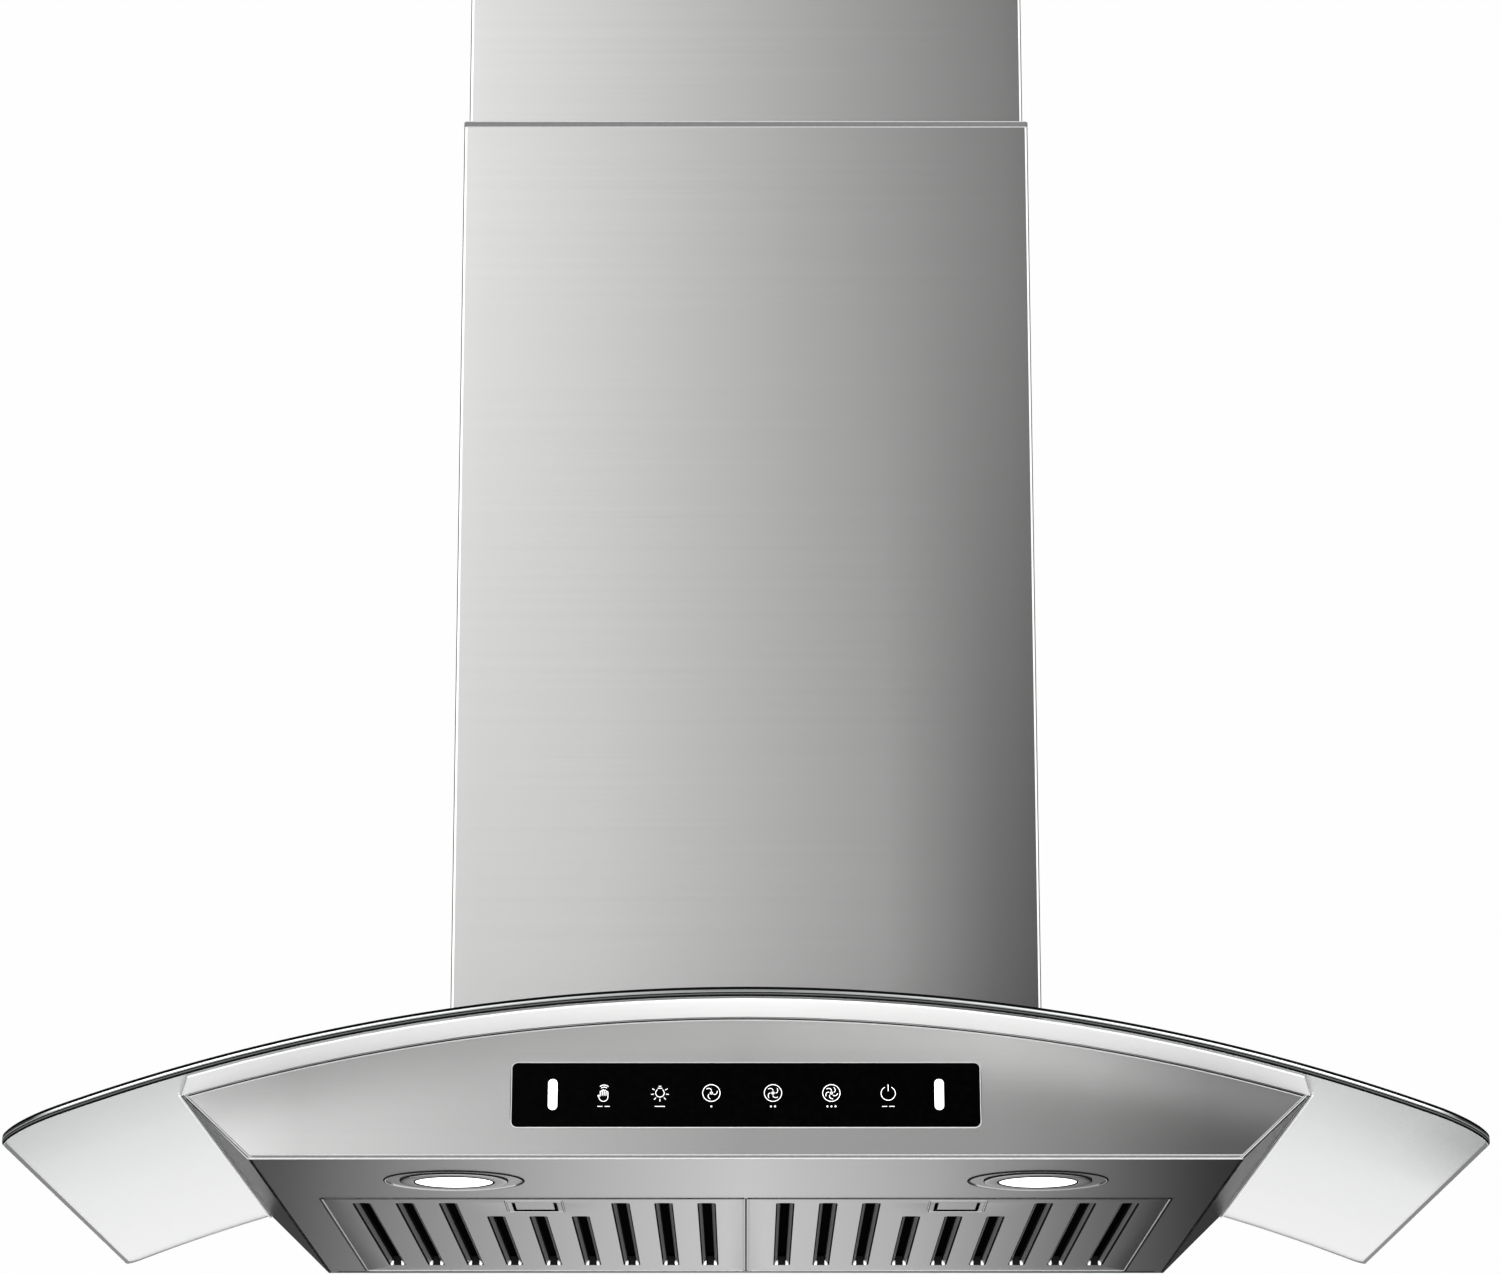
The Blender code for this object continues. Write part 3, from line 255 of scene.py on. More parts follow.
def clear_glass():
    """Clear sheet with a faint tint and painted shade: darker towards the front edge, and darkest at its two
    front corners, the right one most.
    """
    material, tree = new_material("tempered_glass")
    depth = remap(tree, coordinate(tree, "Y"), GLASS_LOW.y, GLASS_HIGH.y)
    # Painted shade: the tint darkens towards the front edge and at the two front corners.
    painted_shade_by_depth = ramp(tree, wander(tree, depth, noise(tree, 6.0, 1.0, 0.4), 0.04), GLASS_PAINTED_SHADE)
    painted_tip_shade = ramp(tree, remap(tree, coordinate(tree, "X"), -GLASS_HALF, GLASS_HALF), TIP_PAINTED_SHADE)
    inputs = {
        "Base Color": blend(tree, ramp(tree, depth, TIP_SHADE_REACH), painted_shade_by_depth, painted_tip_shade, "MULTIPLY"),
        "Roughness": 0.0,
        "IOR": 1.35,
        "Transmission Weight": 1.0,
    }
    return shade(material, inputs)


def black_glass():
    material, tree = new_material("black_control_glass")
    dust = noise(tree, 300.0)
    inputs = {
        "Base Color": ramp(tree, dust, ((0.4, 0.0004), (0.7, (0.0008, 0.0008, 0.0009)))),
        "Roughness": spread(tree, dust, 0.03, 0.07),
        "Specular IOR Level": 0.01,
    }
    return shade(material, inputs)


def lit(name, colour, strength, ripple):
    """A glowing diffusing cover, brighter in fine cells. On the lamp lenses the glow is the lamp behind; on
    the sensor windows and the printed icons it is a painted glow.
    """
    material, tree = new_material(name)
    cells = add_node(tree, "TexVoronoi", {"Vector": texture_place(tree, ripple), "Scale": 1.0})
    tint = ramp(tree, cells.outputs["Distance"], ((0.0, colour), (1.0, tuple(c * 0.9 for c in colour))))
    inputs = {"Base Color": tint, "Emission Color": tint, "Emission Strength": strength, "Roughness": 0.35}
    return shade(material, inputs)


def moulded(name, colour, roughness, specular=0.5, grain=500.0, depth=0.00002, metallic=0.0):
    """Moulded plastic, rubber or lacquer with a fine grain."""
    material, tree = new_material(name)
    speckle = noise(tree, grain, 3.0, 0.6)
    light = tuple(min(c * 1.15 + 0.002, 1.0) for c in rgb(colour))
    inputs = {
        "Base Color": ramp(tree, speckle, ((0.35, colour), (0.7, light))),
        "Roughness": spread(tree, speckle, roughness - 0.05, roughness + 0.08),
        "Metallic": metallic,
        "Specular IOR Level": specular,
        "Normal": bump(tree, speckle, 0.3, depth),
    }
    return shade(material, inputs)


def painted_fade_across(name, stops, roughness):
    """Satin coat with a painted reflection: its tone changes with the distance from the hood's middle line:
    (distance, colour).
    """
    material, tree = new_material(name)
    reach = remap(tree, calculate(tree, "ABSOLUTE", coordinate(tree, "X")), 0.0, GLASS_HALF)
    speckle = noise(tree, 60.0)
    shares = tuple((x / GLASS_HALF, colour) for x, colour in stops)
    inputs = {
        "Base Color": ramp(tree, wander(tree, reach, speckle, 0.01), shares),
        "Roughness": spread(tree, speckle, roughness - 0.03, roughness + 0.03),
        "Specular IOR Level": 0.1,
    }
    return shade(material, inputs)


def baffle_steel():
    """Baffles: bare steel on the side towards the blower, and dark below, where the slots shade them."""
    material, tree = new_material("baffle_steel")
    speckle = noise(tree, 200.0, 3.0, 0.6)
    upwards = wander(tree, coordinate(tree, "Z", "Normal"), speckle, 0.02)
    inputs = {
        "Base Color": ramp(tree, upwards, ((0.5, 0.002), (0.8, (0.34, 0.34, 0.338)))),
        "Roughness": spread(tree, speckle, 0.6, 0.8),
        "Specular IOR Level": 0.0,
    }
    return shade(material, inputs)


def circuit_board():
    """Green board with copper tracks under the mask."""
    material, tree = new_material("circuit_board_mask")
    bricks = {
        "Vector": texture_place(tree, 170.0),
        "Color1": (0.012, 0.12, 0.04, 1.0),
        "Color2": (0.016, 0.15, 0.05, 1.0),
        "Mortar": (0.06, 0.30, 0.10, 1.0),
        "Scale": 1.0,
    }
    tracks = add_node(tree, "TexBrick", bricks).outputs["Color"]
    return shade(material, {"Base Color": tracks, "Roughness": 0.35})


def studio_floor():
    """Pale matt floor that fades into the white backdrop away from the hood, by a painted glow that is faint
    under the hood and grows with the distance.
    """
    material, tree = new_material("pale_floor")
    distance = add_node(tree, "VectorMath", {0: coordinate(tree)}, operation="LENGTH").outputs["Value"]
    reach = remap(tree, distance, 0.8, FLOOR_HALF * 0.9, kind="SMOOTHSTEP")
    fade = wander(tree, reach, noise(tree, 0.8), 0.01)
    inputs = {
        "Base Color": ramp(tree, fade, ((0.0, 0.86), (1.0, 0.02))),
        # Painted glow: the emission grows away from the hood until the floor matches the backdrop.
        "Emission Color": ramp(tree, fade, ((0.0, 0.10), (1.0, 0.98))),
        "Emission Strength": 1.0,
        "Roughness": 0.9,
        "Specular IOR Level": 0.0,
    }
    return shade(material, inputs)


UPRIGHT = (0.0, 0.0, 1.0)
BACKWARD = (0.0, 1.0, 0.0)
DOWN = (0.0, 0.0, -1.0)
WALL_GRAIN = (7.0, 7.0, 1500.0)
FLAT_GRAIN = (7.0, 1500.0, 7.0)

# Painted reflection: the slow change of tone across each sheet, lighter and darker by place, as (x, factor).
FOOT_PAINTED_REFLECTION = ((-0.16, 0.86), (-0.08, 0.95), (0.075, 0.97), (0.105, 0.78), (0.135, 0.56), (0.16, 0.46))
PANEL_PAINTED_REFLECTION = (
    *((-0.29, 1.33), (-0.23, 1.0), (-0.14, 0.90), (0.0, 0.88), (0.07, 1.06)),
    *((0.13, 1.22), (0.18, 1.12), (0.24, 0.68), (0.29, 0.52)),
)
UNDER_PAINTED_REFLECTION = (
    *((-0.25, 1.3), (-0.20, 1.15), (-0.10, 1.12), (-0.02, 0.97), (0.03, 0.97)),
    *((0.10, 1.16), (0.15, 0.95), (0.20, 0.50), (0.25, 0.31)),
)
# Heights over which the painted reflection on the chimney's foot grows to full strength.
FOOT_PAINTED_REFLECTION_HEIGHTS = (LOWER_FRONT[1].z, LOWER_FRONT[0].z)
# The side panels' tone here is painted shade: a darker copy of the same brushed steel.
CHIMNEY_TONE, PANEL_TONE, SIDE_PAINTED_SHADE_TONE = (0.62, 0.62, 0.615), (0.50, 0.50, 0.498), (0.20, 0.20, 0.199)
FLAT_TONE, FILTER_TONE = (0.56, 0.56, 0.558), (0.58, 0.58, 0.578)
# Painted reflection across the glass's rim, by distance from the middle: dark grey near it, light further
# out, black at the ends.
RIM_PAINTED_HIGHLIGHT = (0.72, 0.74, 0.735)
RIM_PAINTED_TONES = ((0.02, (0.13, 0.135, 0.135)), (0.24, RIM_PAINTED_HIGHLIGHT), (0.345, RIM_PAINTED_HIGHLIGHT), (0.362, 0.02))
# Painted reflection on the flange: near-white in the middle, darker towards the sides.
FLANGE_PAINTED_TONES = ((0.02, (0.90, 0.90, 0.895)), (0.24, 0.62))


def upright_steel(name, tone, roughness, *rest, **painted_tones):
    return brushed_steel(name, tone, roughness, WALL_GRAIN, UPRIGHT, *rest, **painted_tones)


def flat_steel(name, tone, roughness):
    # Painted reflection: every flat sheet, the filters too, gets the underside's tone factors.
    return brushed_steel(name, tone, roughness, FLAT_GRAIN, BACKWARD, 0.6, across=UNDER_PAINTED_REFLECTION)


MATERIALS = {
    # Painted reflection: the chimney's foot, the front panel, the underside and the filters carry tone
    # factors set across them.
    "chimney": upright_steel("chimney_steel_painted_reflection", CHIMNEY_TONE, 0.22, across=FOOT_PAINTED_REFLECTION, fade=FOOT_PAINTED_REFLECTION_HEIGHTS),
    # Painted highlight and painted dark line for the chimney covers' bends.
    "fold_painted_highlight": polished_steel("fold_painted_highlight_steel", (0.98, 0.98, 0.98), 0.3),
    "fold_painted_dark": moulded("fold_painted_dark_line", 0.03, 0.5, 0.0),
    "panel": upright_steel("panel_steel_painted_reflection", PANEL_TONE, 0.28, 0.85, across=PANEL_PAINTED_REFLECTION),
    # Painted shade: a darker copy of the panel steel, with little reflection at grazing angles.
    "side": upright_steel("side_steel_painted_shade", SIDE_PAINTED_SHADE_TONE, 0.22, 0.8, 0.12),
    "flat": flat_steel("underside_steel_painted_reflection", FLAT_TONE, 0.15),
    "filter": flat_steel("filter_steel_painted_reflection", FILTER_TONE, 0.17),
    # Painted shade: a dark grey for the rolled slot lips.
    "lip": moulded("slot_lip_painted_shade", 0.10, 0.35, 0.1, 600.0, 0.00003),
    "baffle": baffle_steel(),
    "polished": polished_steel("polished_steel", (0.80, 0.80, 0.80), 0.10),
    "bead": moulded("satin_bead", 0.40, 0.35, 0.3),
    # Painted reflection: a near-white coat, darker towards the sides, on the steel flange under the glass.
    "flange": painted_fade_across("flange_painted_reflection", FLANGE_PAINTED_TONES, 0.4),
    # Painted reflections: the glass rim's dark, grey, light and middle bands.
    "rim_painted_dark": moulded("glass_rim_painted_dark", 0.002, 0.5, 0.0, 700.0),
    "rim_painted_grey": moulded("glass_rim_painted_grey", (0.055, 0.057, 0.057), 0.4, 0.05),
    "rim_painted_light": painted_fade_across("glass_rim_painted_light", RIM_PAINTED_TONES, 0.4),
    "rim_painted_middle": moulded("glass_rim_painted_middle", (0.16, 0.165, 0.165), 0.4, 0.05),
    # White painted highlight, on the glass's rim, the shoulder beads and the slot tabs.
    "white_painted_highlight": moulded("white_painted_highlight_coat", (0.92, 0.93, 0.93), 0.4, 0.1),
    # Painted shade: a dark grey standing for the shade in grooves.
    "hem": moulded("groove_painted_shade", 0.12, 0.45, 0.1),
    "shadow": moulded("shadow_gap", 0.006, 0.6, 0.0),
    "zinc": galvanised_steel(),
    "glass": clear_glass(),
    "black": black_glass(),
    # Painted glow: the sensor windows and the printed icons glow, though no lamp is behind them.
    "sensor": lit("sensor_window_painted_glow", (0.95, 0.96, 0.96), 0.9, 900.0),
    "print": lit("icon_print_painted_glow", (0.95, 0.95, 0.95), 0.85, 2000.0),
    "lens": lit("lamp_lens_frosted", (1.0, 1.0, 0.98), 1.6, 500.0),
    "aluminium": polished_steel("satin_aluminium", (0.70, 0.71, 0.72), 0.36),
    "black_plastic": moulded("black_moulded_plastic", (0.016, 0.016, 0.018), 0.5, 0.5, 900.0, 0.00005),
    "white_plastic": moulded("white_moulded_plastic", (0.72, 0.72, 0.70), 0.45, 0.5, 900.0, 0.00005),
    "rubber": moulded("gasket_rubber", 0.02, 0.78, 0.5, 600.0, 0.0001),
    "motor": moulded("motor_lacquer", (0.16, 0.165, 0.17), 0.38, 0.5, 500.0, 0.00005, 0.6),
    "board": circuit_board(),
    "floor": studio_floor(),
}


# ---------- mesh helpers
def add_object(name, bm, materials, smooth_deg):
    """Makes an object of bm. materials are keys of MATERIALS, in the order of the faces' indices."""
    mesh = bpy.data.meshes.new(name)
    bm.to_mesh(mesh)
    bm.free()
    mesh.shade_smooth()
    mesh.set_sharp_from_angle(angle=math.radians(smooth_deg))
    for key in materials:
        mesh.materials.append(MATERIALS[key])
    obj = bpy.data.objects.new(name, mesh)
    bpy.context.scene.collection.objects.link(obj)
    return obj


def piece(name, bm, material, body, smooth_deg=60.0, more_materials=()):
    bmesh.ops.remove_doubles(bm, verts=bm.verts, dist=1e-7)
    bmesh.ops.recalc_face_normals(bm, faces=bm.faces)
    obj = add_object(name, bm, (material, *more_materials), smooth_deg)
    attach(obj, body)
    keep_flats_flat(obj)
    return obj


def keep_flats_flat(obj):
    """Lets large faces set the normals, so that the roundings beside them don't tilt a flat's shading."""
    modifier = obj.modifiers.new("normals", "WEIGHTED_NORMAL")
    modifier.mode = "FACE_AREA"
    modifier.weight = 100
    modifier.keep_sharp = True


def bridge(bm, loops, closed=True, index_of=None):
    """Joins successive loops of vertices, all of one length, with quads. index_of(k, face) gives the
    material index of a face between loops k and k + 1."""
    count = len(loops[0])
    last = count if closed else count - 1
    for k, (one, two) in enumerate(zip(loops, loops[1:])):
        for i in range(last):
            j = (i + 1) % count
            face = bm.faces.new((one[i], one[j], two[j], two[i]))
            if index_of:
                face.material_index = index_of(k, face)


def bridge_round(bm, loops):
    """Joins loops and the last of them to the first."""
    bridge(bm, loops + [loops[0]])


def flat_ring(bm, outline, z):
    return [bm.verts.new((x, y, z)) for x, y in outline]


def bridge_and_cap(bm, loops):
    """Joins open rows or rings and closes both ends."""
    bridge(bm, loops)
    for end in (loops[0], loops[-1]):
        bm.faces.new(end)


def rounded_outline(half_w, half_h, corner, steps=6, centre=(0.0, 0.0)):
    points = []
    for quarter, (sx, sy) in enumerate(((1, 1), (-1, 1), (-1, -1), (1, -1))):
        for k in range(steps + 1):
            turn = math.radians(90) * (quarter + k / steps)
            x = sx * (half_w - corner) + corner * math.cos(turn)
            y = sy * (half_h - corner) + corner * math.sin(turn)
            points.append((centre[0] + x, centre[1] + y))
    return points


def turned(bm, profile, matrix, sides, shape=None, join=bridge_and_cap):
    """Turns (radius, height) points about matrix's z axis. shape(k, angle) scales ring k."""
    loops = []
    for k, (radius, height) in enumerate(profile):
        ring = []
        for i in range(sides):
            angle = 2 * math.pi * i / sides
            r = radius * (shape(k, angle) if shape else 1.0)
            ring.append(bm.verts.new(matrix @ Vector((r * math.cos(angle), r * math.sin(angle), height))))
        loops.append(ring)
    join(bm, loops)


def aim(point, normal):
    """A matrix at point whose z axis is along normal."""
    return Matrix.Translation(point) @ Vector(normal).to_track_quat("Z", "Y").to_matrix().to_4x4()


def add_screw(bm, point, normal, radius):
    """Pan-head screw with a cross recess."""
    height = radius * 0.62
    profile = (
        (radius * 0.98, 0.0),
        (radius, height * 0.35),
        (radius * 0.86, height * 0.78),
        (radius * 0.62, height),
        (radius * 0.56, height),
        (radius * 0.50, height * 0.45),
    )

    def shape(k, angle):
        return 1.0 if k < 4 else 0.42 + 0.58 * abs(math.cos(2 * angle)) ** 3

    turned(bm, profile, aim(point, normal), 32, shape)


def screws(name, body, spots, radius):
    bm = bmesh.new()
    for point, normal in spots:
        add_screw(bm, point, normal, radius)
    piece(name, bm, "polished", body, 30.0)


# ---------- glass canopy
def glass_canopy():
    """The bent sheet with pencil-ground edges, as a grid of x stations with a rim of loops."""
    front_corner, rear_corner = 0.031, 0.009
    straight = GLASS_HALF - front_corner
    inner = [straight * k / 60 for k in range(-60, 61)]
    inner = [x for x in inner if abs(abs(x) - CUTOUT_HALF[0]) > 0.003] + [-CUTOUT_HALF[0], CUTOUT_HALF[0]]
    turns = [math.radians(90) * k / 12 for k in range(1, 13)]

    def stations(inset):
        bends = [straight + (front_corner - inset) * math.sin(a) for a in turns]
        return sorted(inner + bends + [-x for x in bends])

    def front_y(x, inset):
        past = max(abs(x) - straight, 0.0)
        reach = front_corner - inset
        return GLASS_LOW.y + front_corner - math.sqrt(max(reach * reach - past * past, 0.0))

    def rear_y(x, inset):
        past = max(abs(x) - (GLASS_HALF - rear_corner), 0.0)
        reach = rear_corner - inset
        return GLASS_HIGH.y - rear_corner + math.sqrt(max(reach * reach - past * past, 0.0))

    bm = bmesh.new()
    # (inset, share of the thickness, which of the glass's materials lies above it)
    # Painted reflections: the rim's bands of dark, grey, light, white and middle tone stand in for what the
    # ground edge reflects.
    rim_profile = (
        *((0.0010, 0.0, 4), (0.0008, 0.0, 1), (0.0002, 0.20, 2), (0.0, 0.32, 1), (0.0, 0.44, 5)),
        *((0.0, 0.54, 3), (0.0, 0.70, 1), (0.0001, 0.92, 1), (0.0008, 1.0, 1)),
    )
    loops = []
    for inset, share, _ in rim_profile:
        xs = stations(inset)
        rise = share * GLASS_THICK
        front = [bm.verts.new((x, front_y(x, inset), arch(x, rise))) for x in xs]
        rear = [bm.verts.new((x, rear_y(x, inset), arch(x, rise))) for x in xs]
        loops.append((xs, front, rear))
    rings = [front + list(reversed(rear)) for _, front, rear in loops]
    bridge(bm, rings, index_of=lambda k, face: rim_profile[k][2])

    cut_rows = (MIDDLE_Y - CUTOUT_HALF[1], MIDDLE_Y + CUTOUT_HALF[1])
    edges = []
    for (xs, front, rear), rise in ((loops[0], 0.0), (loops[-1], GLASS_THICK)):
        near = [bm.verts.new((x, cut_rows[0], arch(x, rise))) for x in xs]
        far = [bm.verts.new((x, cut_rows[1], arch(x, rise))) for x in xs]
        for i in range(len(xs) - 1):
            rows = [front, near, far, rear]
            for j in range(3):
                if j == 1 and abs(xs[i] + xs[i + 1]) / 2 < CUTOUT_HALF[0]:
                    continue
                bm.faces.new((rows[j][i], rows[j][i + 1], rows[j + 1][i + 1], rows[j + 1][i]))
        low = next(i for i, x in enumerate(xs) if abs(x + CUTOUT_HALF[0]) < 1e-6)
        high = next(i for i, x in enumerate(xs) if abs(x - CUTOUT_HALF[0]) < 1e-6)
        edges.append(near[low : high + 1] + list(reversed(far[low : high + 1])))
    bridge(bm, edges)
    painted_rim_bands = ("rim_painted_dark", "rim_painted_grey", "rim_painted_light", "white_painted_highlight", "rim_painted_middle")
    glass = piece("curved_glass_sheet", bm, "glass", "hood", 50.0, painted_rim_bands)
    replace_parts(glass, "glass_canopy")


# ---------- chimney covers
FOLD_RADIUS = 0.0019
FOLD_TURNS = (0, 9, 20, 33, 46, 57, 68, 79, 90)  # degrees round a fold, from the front to the side
# Turns of a bend that carry the painted highlight and the painted dark line.
PAINTED_HIGHLIGHT_TURNS, PAINTED_DARK_TURNS = (9, 46), (46, 79)
SEAM = 0.0004  # half the gap between the front and rear halves
EASED = (0.00014, 0.00018)  # how far an edge is eased, across the sheet and along it
FOOT_GAP = 0.0003  # between the lower cover and the glass


def folded_cover(name, node, body, y_sign, half, low_at, high):
    """U-shaped cover whose corners are folded to a radius, open at the top and bottom."""

    def path(offset):
        wx, wy = half[0] - offset, half[1] - offset
        radius = FOLD_RADIUS - offset
        turns = [math.radians(degrees) for degrees in FOLD_TURNS]
        right = [(wx - radius + radius * math.sin(a), wy - radius + radius * math.cos(a)) for a in turns]
        left = [(-x, y) for x, y in reversed(right)]
        count = 24
        across = [((-1 + 2 * k / count) * (wx - radius), wy) for k in range(1, count)]
        return [(-wx, SEAM), (-wx, wy * 0.5)] + left + across + right + [(wx, wy * 0.5), (wx, SEAM)]

    bm = bmesh.new()
    loops = []
    for offset, ends in ((0.0, EASED[1]), (EASED[0], 0.0), (SHEET - EASED[0], 0.0), (SHEET, EASED[1])):
        places = [(x, MIDDLE_Y + y_sign * y) for x, y in path(offset)]
        lows = [bm.verts.new((x, y, low_at(x) + ends)) for x, y in places]
        highs = [bm.verts.new((x, y, high - ends)) for x, y in places]
        loops.append((lows, highs))
    order = [lows for lows, _ in loops] + [highs for _, highs in reversed(loops)]
    bridge(bm, order + [order[0]], closed=False)
    for k in (0, -1):
        bm.faces.new([loop[k] for loop in order])
    # Painted highlight and painted reflection: each bend gets a bright painted line, with a dark painted line
    # outside it.
    for face in bm.faces:
        centre = face.calc_center_median()
        past_x = abs(centre.x) - (half[0] - FOLD_RADIUS)
        past_y = y_sign * (centre.y - MIDDLE_Y) - (half[1] - FOLD_RADIUS)
        if past_x > 0.0 and past_y > 0.0:
            turn = math.degrees(math.atan2(past_x, past_y))
            if PAINTED_HIGHLIGHT_TURNS[0] < turn < PAINTED_HIGHLIGHT_TURNS[1]:
                face.material_index = 1
            elif PAINTED_DARK_TURNS[0] < turn < PAINTED_DARK_TURNS[1]:
                face.material_index = 2
    painted_fold_lines = ("fold_painted_highlight", "fold_painted_dark")
    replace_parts(piece(name, bm, "chimney", body, 40.0, painted_fold_lines), node)


def chimneys():
    levels = (
        ("lower", "hood", LOWER_FRONT, lambda x: arch(x, GLASS_THICK) + FOOT_GAP),
        ("upper", "upper_chimney", UPPER_FRONT, lambda x: UPPER_FRONT[0].z),
    )
    for y_sign, word in ((-1, "front"), (1, "rear")):
        for level, body, (low, high), foot_at in levels:
            name, node = level + "_cover_" + word, level + "_chimney_" + word
            folded_cover(name, node, body, y_sign, (high.x, MIDDLE_Y - low.y), foot_at, high.z)


def bar(name, material, body, ends, across, out, section):
    """A straight bead between two ends. section: (offset across, rise outwards) points."""
    across, out = Vector(across).normalized(), Vector(out).normalized()
    offsets = [across * a + out * o for a, o in section]
    bm = bmesh.new()
    bridge_and_cap(bm, [[bm.verts.new(Vector(end) + offset) for offset in offsets] for end in ends])
    piece(name, bm, material, body)


def half_round(width, rise, middle=0.0, steps=8):
    """Section of a low bead, width across and rise high."""
    points = []
    for k in range(steps + 1):
        a = math.pi * k / steps
        points.append((middle - width / 2 * math.cos(a), rise * math.sin(a)))
    return points


def panel_folds():
    """Pressed edges of the front panel: two bright beads with a groove in painted shade between them, and at
    each end bright beads beside painted shadow lines.
    """
    foot_x = UNDER_HIGH.x + 0.0017
    head_z = (arch(BODY_HALF) - FLAT_Z - 0.0006) * SLOPE
    inset = 0.0006
    for name, material, offset, width, rise in (
        ("panel_fold_upper_bead", "bead", 0.0024, 0.0006, 0.00030),
        ("panel_fold_groove", "hem", 0.0015, 0.0012, 0.0001),
        ("panel_fold_lower_bead", "bead", 0.0005, 0.0010, 0.00045),
    ):
        ends = [FACE @ Vector((x, 0.0, offset)) for x in (-foot_x + inset, foot_x - inset)]
        bar(name, material, "hood", ends, UP_FACE, (0, -1, -LEAN), half_round(width, rise))
    for side, word in ((-1, "left"), (1, "right")):
        for name, material, offset, width, rise in (
            ("end_outer_line", "shadow", 0.0003, 0.0006, 0.00035),
            ("end_bead", "bead", 0.0010, 0.0008, 0.0004),
            ("end_groove", "shadow", 0.0017, 0.0005, 0.0002),
            ("end_inner_bead", "bead", 0.0022, 0.0005, 0.0003),
        ):
            foot = FACE @ Vector((side * (foot_x - offset), 0.0, 0.0008))
            head = FACE @ Vector((side * (BODY_HALF - offset), 0.0, head_z))
            across, section = (head - foot).cross(OUT), half_round(width, rise)
            bar(word + "_panel_" + name, material, "hood", (foot, head), across, OUT, section)


def panel_top_line():
    """Painted shadow line at the seam, and a bright bead, where the panel's arched top meets the strip under
    the glass.
    """
    half = BODY_HALF - 0.002
    for name, material, drop, width in (
        ("panel_top_seam", "shadow", 0.0025, 0.0006),
        ("panel_top_bead", "bead", 0.0032, 0.0005),
    ):
        bm = bmesh.new()
        rows = []
        for k in range(61):
            x = half * (k / 30 - 1)
            z = (arch(x) - FLAT_Z - drop) * SLOPE
            section = half_round(width, 0.0003)
            rows.append([bm.verts.new(FACE @ Vector((x, -rise, z + up))) for up, rise in section])
        bridge_and_cap(bm, rows)
        piece(name, bm, material, "hood")


def shoulder_trims():
    """Bead in a white painted highlight, with a painted shadow line below it, where each side panel meets the
    glass.
    """
    turns = [2 * math.pi * k / 10 for k in range(10)]
    for side, word in ((-1, "left"), (1, "right")):
        for label, material, out, size in (
            ("shoulder_bead", "white_painted_highlight", 0.0014, 0.0009),
            ("shoulder_shadow_line", "shadow", 0.0004, 0.0005),
        ):
            x = BODY_HALF + out
            z = arch(x) - 0.0007
            ends = [(side * x, y, z) for y in (FOLD_Y + LEAN * (z - FLAT_Z) + 0.002, REAR_HIGH.y - 0.0005)]
            section = [(size / 2 * math.cos(a), size / 2 * math.sin(a)) for a in turns]
            bar(word + "_" + label, material, "hood", ends, (1, 0, 0), UPRIGHT, section)


def chimney_joint():
    """Hem round the lower cover's top: a groove in painted shade between two bright beads."""
    low, high = LOWER_FRONT
    for label, material, bottom, top, proud in (
        ("hem_groove", "hem", 0.0032, 0.0005, 0.00012),
        ("hem_bead", "bead", 0.0038, 0.0032, 0.00022),
        ("top_bead", "bead", 0.0005, 0.0, 0.00015),
    ):
        foot, head = high.z - bottom, high.z - top
        inner = -0.0003
        face = ((0.0, foot), (proud, foot + proud), (proud, head - proud), (0.0, head))
        section = face + ((inner, head), (inner, foot))
        bm = bmesh.new()
        loops = []
        for grow, z in section:
            size = (high.x + grow, MIDDLE_Y - low.y + grow, FOLD_RADIUS + grow)
            loops.append(flat_ring(bm, rounded_outline(*size, centre=(0.0, MIDDLE_Y)), z))
        bridge_round(bm, loops)
        piece("lower_cover_" + label, bm, material, "hood", 50.0)


# ---------- control panel
BEZEL_WIDTH = 0.0005
BEZEL_RISE = 0.0006  # out of the leaning face
BEZEL_HALF = (BEZEL_HIGH.x, 0.0178)
BEZEL_CORNER = 0.0035
BEZEL_MIDDLE = (BEZEL_LOW.z + BEZEL_HIGH.z) / 2 - FLAT_Z
ICON_ROW = BEZEL_MIDDLE * SLOPE + 0.0010
MARK_ROW = ICON_ROW - 0.0072
GLASS_FACE = -0.0005  # front of the black glass, out of the leaning face
STROKE = 0.00015  # half width of a printed line
PRINT_LIFT = 0.00006


def arc(cx, cy, radius, start_deg, end_deg, steps=20):
    angles = [math.radians(start_deg + (end_deg - start_deg) * k / steps) for k in range(steps + 1)]
    return [(cx + radius * math.cos(a), cy + radius * math.sin(a)) for a in angles]


def line(x0, y0, x1, y1):
    return [(x0, y0), (x1, y1)]


def fan_symbol(blades):
    """Swept blades round a hub, inside a ring."""
    strokes = [arc(0, 0, 0.0045, 0, 360, 40), arc(0, 0, 0.0006, 0, 360, 12)]
    for k in range(blades):
        blade = []
        for t in range(9):
            share = t / 8
            turn = math.radians(90 + 360 * k / blades + 50 * share * share)
            reach = 0.0013 + 0.0020 * share
            blade.append((reach * math.cos(turn), reach * math.sin(turn)))
        strokes.append(blade)
    return strokes


